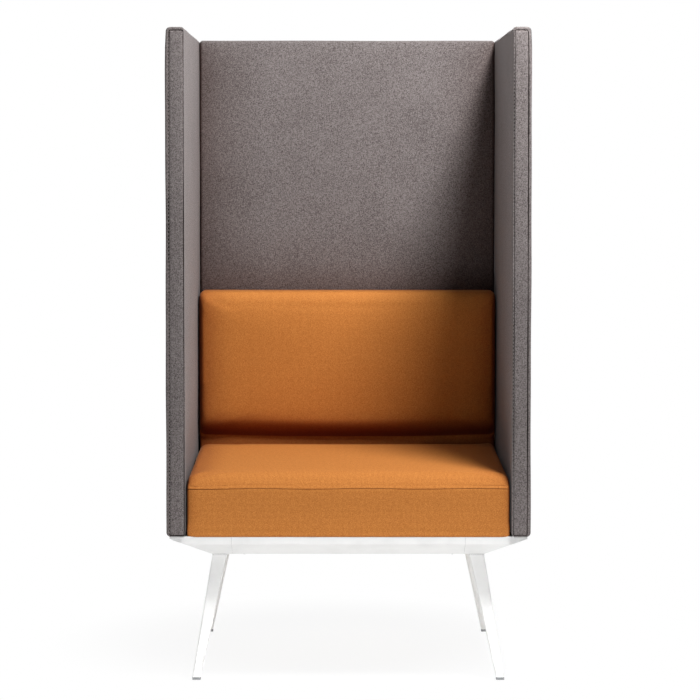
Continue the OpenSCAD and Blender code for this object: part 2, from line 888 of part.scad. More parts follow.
// Cover of a side panel: foam and felted wool over the outer face, the top and the inner
// face, with a rebate at each end for the sewn strip.
module side_cover(sx) {
  color("#7b716e")
    difference() {
      quarter(sx, 1)
        difference() {
          padded_slab([panel_in_x, -half_d, panel_base], [half_w, half_d, overall_h], panel_edge_r);
          block([core_in_x - gap, -half_d, panel_base - over],
            [core_in_x + core_t + gap, half_d, overall_h - pad_t]);
          for (sy = [-1, 1])
            quarter(1, sy)
              along_y(half_d - strip_t, half_d + over)
                rounded_plate([panel_in_x + inner_seam_inset, panel_base - 2 * panel_edge_r],
                  [half_w - seam_inset, overall_h - seam_inset], panel_edge_r);
          for (sy = [-1, 1])
            frame_quarter(1, sy)
              block([core_in_x - bracket_t - gap, bracket_y - bed_hw, panel_base - over],
                [core_in_x, bracket_y + bed_hw, frame_top + bracket_rise]);
        }
      connector_places()
        cylinder(r = connector_r + gap, h = connector_l);
    }
}

// Sewn strip that closes the front or the rear end of a side panel.
module end_strip(sx, sy) {
  color("#827874")
    quarter(sx, sy)
      along_y(half_d - strip_t + gap, half_d)
        difference() {
          rounded_plate([panel_in_x + inner_seam_inset + gap, panel_base - panel_edge_r],
            [half_w - seam_inset - gap, overall_h - seam_inset - gap], panel_edge_r - gap);
          translate([panel_in_x, panel_base - 2 * panel_edge_r])
            square([panel_t, 2 * panel_edge_r]);
        }
}

// Board inside the back panel.
module back_core() {
  color("#a98f6c")
    difference() {
      block([-core_end_x, core_in_y, panel_base],
        [core_end_x, core_in_y + core_t, overall_h - pad_t - gap]);
      connector_places()
        cylinder(r = connector_r + fit, h = connector_l + fit);
      for (sx = [-1, 1], z = stud_zs)
        translate([sx * stud_x, core_in_y + core_t - cushion_base_r + fit, z])
          rotate([90, 0, 0])
            cylinder(r = stud_r + fit, h = core_t);
      for (sx = [-1, 1])
        back_bracket_place(sx)
          bracket_screw_places()
            countersunk_screw(fit);
    }
}

// Cover of the back panel: foam and felted wool over the front, the top and the rear.
module back_cover() {
  color("#7b716e")
    difference() {
      padded_slab([gap - panel_in_x, panel_in_y, panel_base],
        [panel_in_x - gap, half_d, overall_h], panel_edge_r);
      block([-panel_in_x, core_in_y - gap, panel_base - over],
        [panel_in_x, core_in_y + core_t + gap, overall_h - pad_t]);
      for (sx = [-1, 1])
        translate([sx * back_bracket_x, 0, 0]) {
          block([-bed_hw, core_in_y - bracket_t - gap, panel_base - over],
            [bed_hw, core_in_y, frame_top + bracket_rise + 2 * gap]);
          block([-bed_hw, panel_in_y - over, panel_base - over],
            [bed_hw, core_in_y, frame_top + bracket_t + bend_r + 2 * gap]);
        }
      for (sx = [-1, 1], z = stud_zs)
        translate([sx * stud_x, core_in_y, z])
          rotate([90, 0, 0])
            cylinder(r = stud_r + gap, h = pad_t + over);
    }
}

module panel_connectors() {
  color("#b9bcc0")
    connector_places()
      cylinder(r = connector_r, h = connector_l);
}

module side_bracket(sx, sy) {
  color("#3a3b3d")
    quarter(sx, 1)
      side_bracket_place(sy)
        bracket_shape();
}

module back_bracket(sx) {
  color("#3a3b3d")
    back_bracket_place(sx)
      bracket_shape();
}

module bracket_screws() {
  color("#b9bcc0") {
    for (sx = [-1, 1], sy = [-1, 1])
      quarter(sx, 1)
        side_bracket_place(sy)
          bracket_screw_places()
            countersunk_screw();
    for (sx = [-1, 1])
      back_bracket_place(sx)
        bracket_screw_places()
          countersunk_screw();
  }
}

corner_leg(-1, -1);  // front_left_leg
corner_leg(1, -1);  // front_right_leg
corner_leg(-1, 1);  // rear_left_leg
corner_leg(1, 1);  // rear_right_leg
long_rail(-1);  // front_rail
long_rail(1);  // rear_rail
side_rail(-1);  // left_rail
side_rail(1);  // right_rail
rail_screws();
glide(-1, -1);  // front_left_glide
glide(1, -1);  // front_right_glide
glide(-1, 1);  // rear_left_glide
glide(1, 1);  // rear_right_glide
crossbar(-1);  // left_crossbar
crossbar(1);  // right_crossbar
crossbar_screws();
seat_board();
seat_cushion();
seat_bolts();
seat_tee_nuts();
back_board();
back_cushion();
back_hanger_studs();
side_core(-1);  // left_core
side_cover(-1);  // left_cover
end_strip(-1, -1);  // left_front_strip
end_strip(-1, 1);  // left_rear_strip
side_core(1);  // right_core
side_cover(1);  // right_cover
end_strip(1, -1);  // right_front_strip
end_strip(1, 1);  // right_rear_strip
back_core();
back_cover();
panel_connectors();
side_bracket(-1, -1);  // left_front_bracket
side_bracket(-1, 1);  // left_rear_bracket
side_bracket(1, -1);  // right_front_bracket
side_bracket(1, 1);  // right_rear_bracket
back_bracket(-1);  // back_left_bracket
back_bracket(1);  // back_right_bracket
bracket_screws();
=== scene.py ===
"""Looks of an acoustic high back lounge chair: its soft pieces, finishes, light and camera.

Lengths are in metres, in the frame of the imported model: +Z is up and the chair faces -Y.
"""

import json
import logging
import math
from collections.abc import Callable, Iterable
from dataclasses import dataclass
from enum import Enum

import bmesh
import bpy
import numpy as np
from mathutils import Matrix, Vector


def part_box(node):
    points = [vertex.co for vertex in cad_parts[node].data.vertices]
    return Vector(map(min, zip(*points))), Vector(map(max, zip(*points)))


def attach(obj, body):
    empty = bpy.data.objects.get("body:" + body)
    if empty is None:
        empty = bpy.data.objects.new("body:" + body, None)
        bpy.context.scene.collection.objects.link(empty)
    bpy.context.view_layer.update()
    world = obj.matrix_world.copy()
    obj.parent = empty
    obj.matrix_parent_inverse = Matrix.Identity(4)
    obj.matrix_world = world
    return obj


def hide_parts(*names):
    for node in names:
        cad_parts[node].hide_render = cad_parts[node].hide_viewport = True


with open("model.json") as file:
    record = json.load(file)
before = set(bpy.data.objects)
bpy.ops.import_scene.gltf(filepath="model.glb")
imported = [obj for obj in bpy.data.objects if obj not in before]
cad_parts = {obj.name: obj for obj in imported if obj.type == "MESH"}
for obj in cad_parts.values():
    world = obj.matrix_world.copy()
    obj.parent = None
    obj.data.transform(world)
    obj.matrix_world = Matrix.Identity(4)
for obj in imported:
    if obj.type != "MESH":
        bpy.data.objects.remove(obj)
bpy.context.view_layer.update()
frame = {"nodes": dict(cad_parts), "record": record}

LOG = logging.getLogger("lounge_chair")
MM = 0.001
BODY = "root"
X, Y, Z = 0, 1, 2
# Points closer than this are one point
MERGE = 0.01 * MM
# How far a point may lie from a cut and still belong to it
ON_CUT = 0.15 * MM
# Edges of a panel's cover that are sharper than this stay sharp, in degrees
COVER_ANGLE = 60.0
# Noise is weak in the planes of its own lattice, so the lattice is turned out of flat faces
NOISE_TURN = (0.61, 0.35, 0.83)
# Radians per unit of a band texture whose scale is 1
BAND_RATE = 20.0
# Directions of the three waves that overlap in a stretched cover
WAVE_WAYS = ((1.0, 0.0, 0.6), (0.0, 0.8, -0.5), (0.4, 0.0, 1.3))
# Width and height of the photograph, in pixels
PHOTO_SIZE = 700
# Settings of nodes that step softly between levels, blend colours and multiply by a tint
SOFT_STEP = {"interpolation_type": "SMOOTHSTEP"}
COLOURS = {"data_type": "RGBA"}
TINTS = {"data_type": "RGBA", "blend_type": "MULTIPLY"}
Socket = bpy.types.NodeSocket
Tree = bpy.types.NodeTree
Piece = bpy.types.Object
Material = bpy.types.Material
Triple = tuple[float, float, float]


class Side(Enum):
    """Side of the chair, as seen by someone who looks at its front."""

    LEFT = -1
    RIGHT = 1


def linear(code: str) -> tuple[float, float, float, float]:
    """Turns an sRGB colour into linear light.

    Args:
        code: Six hex digits.

    Returns:
        Linear red, green, blue and an alpha of 1.
    """
    shares = [int(code[i : i + 2], 16) / 255 for i in (0, 2, 4)]
    light = [c / 12.92 if c <= 0.04045 else ((c + 0.055) / 1.055) ** 2.4 for c in shares]
    return (light[0], light[1], light[2], 1.0)


def add_node(
    tree: Tree, kind: str, settings: dict | None = None, inputs: dict | None = None
) -> bpy.types.Node:
    """Adds a node with its settings and links.

    Args:
        tree: Node tree of the material.
        kind: Node type, without the words that all shader nodes start with.
        settings: Values of the node's own properties.
        inputs: Values of its inputs by name or number, where a socket is linked.

    Returns:
        The new node.
    """
    node = tree.nodes.new(f"ShaderNode{kind}")
    for key, value in (settings or {}).items():
        setattr(node, key, value)
    for key, value in (inputs or {}).items():
        if isinstance(value, Socket):
            tree.links.new(value, node.inputs[key])
        else:
            node.inputs[key].default_value = value
    return node


def start_material(name: str) -> tuple[Material, Tree]:
    """Makes a material with an empty node tree.

    Args:
        name: Name of the finish.

    Returns:
        The material and its node tree.
    """
    material = bpy.data.materials.new(name)
    material.use_nodes = True
    material.node_tree.nodes.clear()
    return material, material.node_tree


def grain(
    tree: Tree, size: float, detail: float = 2.0, stretch: Iterable[float] = (1, 1, 1)
) -> Socket:
    """Places noise whose grains have a real size on the piece.

    Args:
        tree: Node tree of the material.
        size: Size of a grain.
        detail: Number of finer layers.
        stretch: How many times longer a grain is along each axis.

    Returns:
        The noise value, from 0 to 1.
    """
    place = add_node(tree, "TexCoord").outputs["Object"]
    scale = [1 / (size * s) for s in stretch]
    turned = {"Vector": place, "Scale": scale, "Rotation": NOISE_TURN}
    mapped = add_node(tree, "Mapping", {}, turned).outputs["Vector"]
    layers = {"Vector": mapped, "Scale": 1.0, "Detail": detail}
    return add_node(tree, "TexNoise", {}, layers).outputs["Fac"]


def add_up(tree: Tree, *patterns: tuple[Socket, float]) -> Socket:
    """Adds up several patterns.

    Args:
        tree: Node tree of the material.
        patterns: Each pattern with its weight.

    Returns:
        Their weighted sum.
    """
    total: Socket | float = 0.0
    for pattern, weight in patterns:
        inputs = {0: pattern, 1: weight, 2: total}
        total = add_node(tree, "Math", {"operation": "MULTIPLY_ADD"}, inputs).outputs[0]
    return total


def two_tone(
    tree: Tree, pattern: Socket, levels: tuple[float, float], first: tuple, second: tuple
) -> Socket:
    """Colours a pattern in two tones that run softly into each other.

    Args:
        tree: Node tree of the material.
        pattern: The pattern.
        levels: Values where the first tone ends and where the second is reached.
        first: Linear colour of the first tone.
        second: Linear colour of the second tone.

    Returns:
        The colour.
    """
    steps = {0: pattern, 1: levels[0], 2: levels[1]}
    share = add_node(tree, "MapRange", SOFT_STEP, steps).outputs[0]
    return add_node(tree, "Mix", COLOURS, {0: share, 6: first, 7: second}).outputs[2]


def paint_shade_in_gaps(tree: Tree, colour: Socket, reach: float, tint: Triple) -> Socket:
    """Paints shade into a colour in folds and gaps, where little light gets in.

    Args:
        tree: Node tree of the material.
        colour: The colour.
        reach: How far away a neighbouring face still counts.
        tint: What is left of red, green and blue where no light gets in.

    Returns:
        The colour with painted shade.
    """
    gaps = add_node(tree, "AmbientOcclusion", {"samples": 8}, {"Distance": reach})
    sides = {0: 1.0, 1: gaps.outputs["AO"]}
    shaded = add_node(tree, "Math", {"operation": "SUBTRACT"}, sides).outputs[0]
    return add_node(tree, "Mix", TINTS, {0: shaded, 6: colour, 7: (*tint, 1.0)}).outputs[2]


def parts_of_normal(tree: Tree) -> bpy.types.bpy_prop_collection:
    """Takes the normal of a face apart.

    Args:
        tree: Node tree of the material.

    Returns:
        Its parts along the three axes.
    """
    face = add_node(tree, "NewGeometry")
    return add_node(tree, "SeparateXYZ", {}, {0: face.outputs["Normal"]}).outputs


def seen_directly(tree: Tree) -> Socket:
    """Tells rays of the camera, of gloss and of glass from those that light the chair.

    Args:
        tree: Node tree of the floor or the surroundings.

    Returns:
        1 for a ray that shows the background, otherwise 0.
    """
    path = add_node(tree, "LightPath").outputs
    seen = path["Is Camera Ray"]
    for kind in ("Is Glossy Ray", "Is Transmission Ray"):
        seen = add_node(tree, "Math", {"operation": "MAXIMUM"}, {0: seen, 1: path[kind]}).outputs[0]
    return seen


def close_material(material: Material, inputs: dict) -> Material:
    """Adds the surface shader and the output.

    Args:
        material: Material under construction.
        inputs: Values and sockets of the Principled shader.

    Returns:
        The finished material.
    """
    tree = material.node_tree
    shader = add_node(tree, "BsdfPrincipled", {}, inputs)
    add_node(tree, "OutputMaterial", {}, {"Surface": shader.outputs[0]})
    return material


@dataclass(frozen=True)
class FeltedWool:
    """Grey-brown melange wool, fulled to a felt.

    Dark and pale fibres are carded together, so the surface is speckled, matt and a little furry:
    it pales where it is seen along its face.
    """

    name: str = "melange_felted_wool"
    dark: str = "4A4241"
    pale: str = "8B8483"
    # Real fibre tufts are under 1 mm and wouldn't show, so they are drawn at 1.9 mm
    tuft: float = 1.9 * MM
    tuft_weight: float = 0.6
    # Fibres lie along all three axes, so that each face shows some
    fibre: float = 1.3 * MM
    fibre_stretch: float = 5.0
    fibre_weight: float = 0.8
    cloud: float = 90 * MM
    cloud_weight: float = 0.06
    levels: tuple[float, float] = (0.552, 0.9)
    # Shade is painted into the colour in gaps and folds within this reach, down to the warm tint below
    reach: float = 160 * MM
    painted_shade_tint: Triple = (0.28, 0.13, 0.09)
    fuzz_depth: float = 0.5 * MM
    fuzz_strength: float = 0.7

    def build(self) -> Material:
        """Makes the material.

        Returns:
            The material.
        """
        material, tree = start_material(self.name)
        ways = (1 + (self.fibre_stretch - 1) * np.eye(3)).tolist()
        fibres = [(grain(tree, self.fibre, 1.0, way), self.fibre_weight / 3) for way in ways]
        mixed = add_up(tree, *fibres, (grain(tree, self.tuft, 3.0), self.tuft_weight))
        clouds = grain(tree, self.cloud, 1.0)
        toned = add_up(tree, (mixed, 1.0), (clouds, self.cloud_weight))
        colour = two_tone(tree, toned, self.levels, linear(self.dark), linear(self.pale))
        fuzz = {"Height": mixed, "Distance": self.fuzz_depth, "Strength": self.fuzz_strength}
        inputs = {
            "Base Color": paint_shade_in_gaps(tree, colour, self.reach, self.painted_shade_tint),
            "Normal": add_node(tree, "Bump", {}, fuzz).outputs["Normal"],
            "Roughness": 0.95,
            "Specular IOR Level": 0.15,
            "Sheen Weight": 0.35,
            "Sheen Roughness": 0.35,
            "Sheen Tint": linear("E2E0E2"),
        }
        return close_material(material, inputs)


@dataclass(frozen=True)
class WovenWool:
    """Ochre wool, woven close and lightly brushed.

    Yarns cross in a plain weave that shows as a fine even grain, with a soft warm bloom at the edges.
    """

    name: str = "woven_ochre_wool"
    dark: str = "AC6325"
    pale: str = "D38B44"
    # Real yarns lie 0.9 mm apart and wouldn't show, so they are drawn 2.6 mm apart
    yarn: float = 2.6 * MM
    yarn_weight: float = 0.35
    # Parts of the normal along an axis where bands across it are lost and where they show in full
    yarn_levels: tuple[float, float] = (0.75, 0.35)
    least_yarns: float = 0.3
    hair: float = 1.9 * MM
    hair_weight: float = 0.65
    blotch: float = 7 * MM
    blotch_weight: float = 0.12
    levels: tuple[float, float] = (0.4, 0.74)
    # Shade is painted into the colour in gaps and folds within this reach, down to the red tint below
    reach: float = 90 * MM
    painted_shade_tint: Triple = (0.34, 0.12, 0.05)
    # Shade is painted into faces that turn down, so the undersides are darker and redder
    painted_underside_levels: tuple[float, float] = (-0.06, -0.75)
    painted_underside_tint: Triple = (0.48, 0.25, 0.15)
    weave_depth: float = 0.35 * MM
    weave_strength: float = 0.8

    def yarns(self, tree: Tree) -> Socket:
        """Lays bands of yarn across each axis, of which a face shows only those that cross it.

        Args:
            tree: Node tree of the material.

        Returns:
            The height of the yarns, from 0 to 1.
        """
        looks = {
            "Vector": add_node(tree, "TexCoord").outputs["Object"],
            "Scale": 2 * math.pi / BAND_RATE / self.yarn,
            "Distortion": 2.5,
            "Detail": 1.0,
            "Detail Scale": 0.4,
        }
        normal = parts_of_normal(tree)
        height: Socket | float = 0.0
        shares: list[tuple[Socket, float]] = []
        for number, axis in enumerate("XYZ"):
            kind = {"wave_type": "BANDS", "bands_direction": axis}
            wave = add_node(tree, "TexWave", kind, looks).outputs["Fac"]
            along = add_node(tree, "Math", {"operation": "ABSOLUTE"}, {0: normal[number]})
            steps = {0: along.outputs[0], 1: self.yarn_levels[0], 2: self.yarn_levels[1]}
            share = add_node(tree, "MapRange", SOFT_STEP, steps).outputs[0]
            inputs = {0: wave, 1: share, 2: height}
            height = add_node(tree, "Math", {"operation": "MULTIPLY_ADD"}, inputs).outputs[0]
            shares.append((share, 1.0))
        inputs = {0: add_up(tree, *shares), 1: self.least_yarns}
        weight = add_node(tree, "Math", {"operation": "MAXIMUM"}, inputs).outputs[0]
        return add_node(tree, "Math", {"operation": "DIVIDE"}, {0: height, 1: weight}).outputs[0]

    def build(self) -> Material:
        """Makes the material.

        Returns:
            The material.
        """
        material, tree = start_material(self.name)
        hairs = grain(tree, self.hair, 3.0)
        surface = add_up(tree, (self.yarns(tree), self.yarn_weight), (hairs, self.hair_weight))
        blotches = grain(tree, self.blotch, 2.0)
        toned = add_up(tree, (surface, 1.0), (blotches, self.blotch_weight))
        colour = two_tone(tree, toned, self.levels, linear(self.dark), linear(self.pale))
        colour = paint_shade_in_gaps(tree, colour, self.reach, self.painted_shade_tint)
        # Painted shade on faces that turn down
        steps = {0: parts_of_normal(tree)["Z"], 1: self.painted_underside_levels[0], 2: self.painted_underside_levels[1]}
        under = add_node(tree, "MapRange", SOFT_STEP, steps).outputs[0]
        shaded_below = {0: under, 6: colour, 7: (*self.painted_underside_tint, 1.0)}
        weave = {"Height": surface, "Distance": self.weave_depth, "Strength": self.weave_strength}
        inputs = {
            "Base Color": add_node(tree, "Mix", TINTS, shaded_below).outputs[2],
            "Normal": add_node(tree, "Bump", {}, weave).outputs["Normal"],
            "Roughness": 0.85,
            "Specular IOR Level": 0.25,
            "Sheen Weight": 0.18,
            "Sheen Roughness": 0.4,
            "Sheen Tint": linear("F2BE8C"),
        }
        return close_material(material, inputs)


@dataclass(frozen=True)
class PaintedSeamShade:
    """Painted shade inside a seam: a matt line, darker than the cover."""

    name: str
    tone: str
    speck: float = 2 * MM

    def build(self) -> Material:
        """Makes the material.

        Returns:
            The material.
        """
        material, tree = start_material(self.name)
        tones = {0: grain(tree, self.speck, 1.0), 6: linear(self.tone), 7: linear("000000")}
        colour = add_node(tree, "Mix", COLOURS, tones).outputs[2]
        inputs = {"Base Color": colour, "Roughness": 1.0, "Specular IOR Level": 0.1}
        return close_material(material, inputs)


@dataclass(frozen=True)
class PowderCoat:
    """Satin powder coat, melted on: an even tone with wide soft highlights and fine orange peel."""

    name: str
    tone: str
    roughness: float = 0.42
    peel: float = 1.6 * MM
    peel_depth: float = 0.05 * MM
    peel_strength: float = 0.5
    cloud: float = 60 * MM
    cloud_levels: tuple[float, float] = (0.4, 0.75)
    cloud_shade: float = 0.93
    # Shade is painted into the colour in the narrow joints between castings and rails, and wherever the
    # coat meets another piece
    joint_reach: float = 5 * MM
    painted_joint_shade_tint: Triple = (0.1, 0.1, 0.11)

    def build(self) -> Material:
        """Makes the material.

        Returns:
            The material.
        """
        material, tree = start_material(self.name)
        tone = linear(self.tone)
        clouded = (*(c * self.cloud_shade for c in tone[:3]), 1.0)
        clouds = grain(tree, self.cloud, 3.0)
        colour = two_tone(tree, clouds, self.cloud_levels, tone, clouded)
        peel = {
            "Height": grain(tree, self.peel, 1.0),
            "Distance": self.peel_depth,
            "Strength": self.peel_strength,
        }
        inputs = {
            "Base Color": paint_shade_in_gaps(tree, colour, self.joint_reach, self.painted_joint_shade_tint),
            "Normal": add_node(tree, "Bump", {}, peel).outputs["Normal"],
            "Roughness": self.roughness,
        }
        return close_material(material, inputs)


@dataclass(frozen=True)
class PlatedSteel:
    """Zinc-plated steel: a grey metal, clouded and slightly yellow where it was passivated."""

    name: str = "zinc_plated_steel"
    tone: str = "C4C6C9"
    passivated: str = "A9A79C"
    cloud: float = 5 * MM
    polish: tuple[float, float] = (0.25, 0.45)

    def build(self) -> Material:
        """Makes the material.

        Returns:
            The material.
        """
        material, tree = start_material(self.name)
        clouds = grain(tree, self.cloud, 3.0)
        tones = {0: clouds, 6: linear(self.tone), 7: linear(self.passivated)}
        rough = {0: clouds, 3: self.polish[0], 4: self.polish[1]}
        inputs = {
            "Base Color": add_node(tree, "Mix", COLOURS, tones).outputs[2],
            "Metallic": 1.0,
            "Roughness": add_node(tree, "MapRange", {}, rough).outputs[0],
        }
        return close_material(material, inputs)


@dataclass(frozen=True)
class MouldedPlastic:
    """Grey polyamide, moulded against a spark-eroded face: matt, with a fine even pitting."""

    name: str = "moulded_grey_polyamide"
    tone: str = "8E9092"
    pit_tone: str = "7C7E80"
    pit: float = 0.8 * MM
    pit_depth: float = 0.04 * MM

    def build(self) -> Material:
        """Makes the material.

        Returns:
            The material.
        """
        material, tree = start_material(self.name)
        pits = grain(tree, self.pit, 2.0)
        tones = {0: pits, 6: linear(self.tone), 7: linear(self.pit_tone)}
        pitting = {"Height": pits, "Distance": self.pit_depth, "Strength": 1.0}
        inputs = {
            "Base Color": add_node(tree, "Mix", COLOURS, tones).outputs[2],
            "Normal": add_node(tree, "Bump", {}, pitting).outputs["Normal"],
            "Roughness": 0.55,
        }
        return close_material(material, inputs)


@dataclass(frozen=True)
class SawnWood:
    """Sanded sheet of wood: dull, with pale and dark streaks of grain along X."""

    name: str
    dark: str
    pale: str
    streak: float = 6 * MM
    stretch: float = 14.0
    levels: tuple[float, float] = (0.35, 0.65)
    streak_depth: float = 0.1 * MM

    def build(self) -> Material:
        """Makes the material.

        Returns:
            The material.
        """
        material, tree = start_material(self.name)
        streaks = grain(tree, self.streak, 4.0, (self.stretch, 1, 1))
        ridges = {"Height": streaks, "Distance": self.streak_depth, "Strength": 1.0}
        inputs = {
            "Base Color": two_tone(tree, streaks, self.levels, linear(self.dark), linear(self.pale)),
            "Normal": add_node(tree, "Bump", {}, ridges).outputs["Normal"],
            "Roughness": 0.7,
        }
        return close_material(material, inputs)


@dataclass(frozen=True)
class SewingThread:
    """Twisted polyester sewing thread: paler than the felt, with a slight gloss and dark twists."""

    name: str
    tone: str
    twist: float = 0.7 * MM
    twist_shade: float = 0.7

    def build(self) -> Material:
        """Makes the material.

        Returns:
            The material.
        """
        material, tree = start_material(self.name)
        tone = linear(self.tone)
        shade = (*(c * self.twist_shade for c in tone[:3]), 1.0)
        tones = {0: grain(tree, self.twist, 1.0), 6: tone, 7: shade}
        colour = add_node(tree, "Mix", COLOURS, tones).outputs[2]
        inputs = {"Base Color": colour, "Roughness": 0.6, "Sheen Weight": 0.2}
        return close_material(material, inputs)


def deselect_all() -> None:
    """Leaves nothing selected."""
    bpy.ops.object.select_all(action="DESELECT")


def activate(piece: Piece) -> None:
    """Selects one piece alone and makes it the active one.

    Args:
        piece: The piece.
    """
    deselect_all()
    piece.select_set(True)
    bpy.context.view_layer.objects.active = piece


def add_box(name: str, low: Vector, high: Vector) -> Piece:
    """Adds a box between two corners, with its place in its mesh.

    Args:
        name: Name of the piece.
        low: Lowest corner.
        high: Highest corner.

    Returns:
        The new object, active and selected.
    """
    deselect_all()
    bpy.ops.mesh.primitive_cube_add(size=1, location=(low + high) / 2, scale=high - low)
    box = bpy.context.object
    box.name = name
    box.data.name = name
    bpy.ops.object.transform_apply(location=True, rotation=True, scale=True)
    return box


def pick(piece: Piece, kind: str, wanted: Callable[..., bool]) -> None:
    """Selects mesh elements in edit mode.

    Args:
        piece: Piece in edit mode.
        kind: "VERT", "EDGE" or "FACE".
        wanted: Says of one element whether it is selected.
    """
    bpy.ops.mesh.select_mode(type=kind)
    bpy.ops.mesh.select_all(action="DESELECT")
    mesh = bmesh.from_edit_mesh(piece.data)
    elements = {"VERT": mesh.verts, "EDGE": mesh.edges, "FACE": mesh.faces}[kind]
    for element in elements:
        if wanted(element):
            element.select_set(True)
    bmesh.update_edit_mesh(piece.data)


def cut_planes(axis: int, places: Iterable[float]) -> None:
    """Cuts the piece in edit mode by planes across an axis, which adds a loop of edges at each.

    Args:
        axis: Number of the axis.
        places: Where the planes cross it.
    """
    for place in places:
        point = Vector((0, 0, 0))
        normal = Vector((0, 0, 0))
        point[axis] = place
        normal[axis] = 1
        bpy.ops.mesh.select_all(action="SELECT")
        bpy.ops.mesh.bisect(plane_co=point, plane_no=normal)


def even_places(low: float, high: float, step: float) -> list[float]:
    """Places at an even distance between two ends, without the ends.

    Args:
        low: Lower end.
        high: Upper end.
        step: Distance that is wanted between places.

    Returns:
        The places.
    """
    count = max(2, round((high - low) / step))
    return [low + (high - low) * i / count for i in range(1, count)]


def join_points() -> None:
    """Merges the doubles of the piece in edit mode, turns its faces outwards and leaves edit mode."""
    bpy.ops.mesh.select_all(action="SELECT")
    bpy.ops.mesh.remove_doubles(threshold=MERGE)
    bpy.ops.mesh.normals_make_consistent(inside=False)
    bpy.ops.object.mode_set(mode="OBJECT")


def smooth_by_angle(piece: Piece, angle: float) -> None:
    """Shades a piece smooth, apart from its sharp edges.

    Args:
        piece: Piece in object mode.
        angle: Edges sharper than this stay sharp, in degrees.
    """
    activate(piece)
    bpy.ops.object.shade_smooth_by_angle(angle=math.radians(angle))


def points_of(piece: Piece) -> np.ndarray:
    """Reads the places of all vertices.

    Args:
        piece: Piece in object mode.

    Returns:
        The places, one row each.
    """
    places = np.zeros(len(piece.data.vertices) * 3)
    piece.data.vertices.foreach_get("co", places)
    return places.reshape(-1, 3)


def move_points(piece: Piece, places: np.ndarray) -> None:
    """Writes the places of all vertices."""
    piece.data.vertices.foreach_set("co", places.ravel())
    piece.data.update()


def normals_of(piece: Piece) -> np.ndarray:
    """Reads the normals of all vertices.

    Args:
        piece: Piece in object mode.

    Returns:
        The normals, one row each.
    """
    normals = np.zeros(len(piece.data.vertices) * 3)
    piece.data.vertices.foreach_get("normal", normals)
    return normals.reshape(-1, 3)


def swell_at(places: np.ndarray, height: float, length: float, phase: float) -> np.ndarray:
    """Finds how far a stretched cover rises over its foam.

    Args:
        places: Places on the cover, one row each.
        height: Greatest rise.
        length: Length of the waves.
        phase: Shift that makes pieces differ.

    Returns:
        The rise at each place.
    """
    turn = 2 * math.pi / length
    waves = [np.sin(turn * (places @ way) + k * phase) for k, way in enumerate(WAVE_WAYS, 1)]
    return height / 3 * sum(waves)


def ripple(piece: Piece, height: float, length: float, phase: float) -> None:
    """Lets a stretched cover rise and fall a little over its foam.

    Args:
        piece: Piece in object mode.
        height: Greatest rise.
        length: Length of the waves.
        phase: Shift that makes pieces differ.
    """
    places = points_of(piece)
    rise = swell_at(places, height, length, phase)
    move_points(piece, places + normals_of(piece) * rise[:, None])


def copy_node(node: str, name: str) -> Piece:
    """Copies the mesh of a CAD node, with its triangles joined.

    Args:
        node: Name of the node.
        name: Name of the copy.

    Returns:
        The copy, active, in object mode.
    """
    mesh = frame["nodes"][node].data.copy()
    mesh.name = name
    mesh.materials.clear()
    piece = bpy.data.objects.new(name, mesh)
    bpy.context.scene.collection.objects.link(piece)
    activate(piece)
    bpy.ops.object.mode_set(mode="EDIT")
    join_points()
    return piece


def hand_over(piece: Piece, nodes: Iterable[str]) -> None:
    """Puts a finished piece in the place of CAD nodes.

    Args:
        piece: The finished piece.
        nodes: Names of the nodes that it stands for.
    """
    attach(piece, BODY)
    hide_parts(*nodes)
    LOG.info("%s: %d faces", piece.name, len(piece.data.polygons))


@dataclass(frozen=True)
class Ring:
    """Ring of a panel's end: its share of the way to the seam, its inset beyond it and its rise."""

    share: float
    beyond: float
    rise: float


@dataclass(frozen=True)
class Groove:
    """Groove that a seam presses into a cover: half its width and its depth."""

    half: float
    depth: float


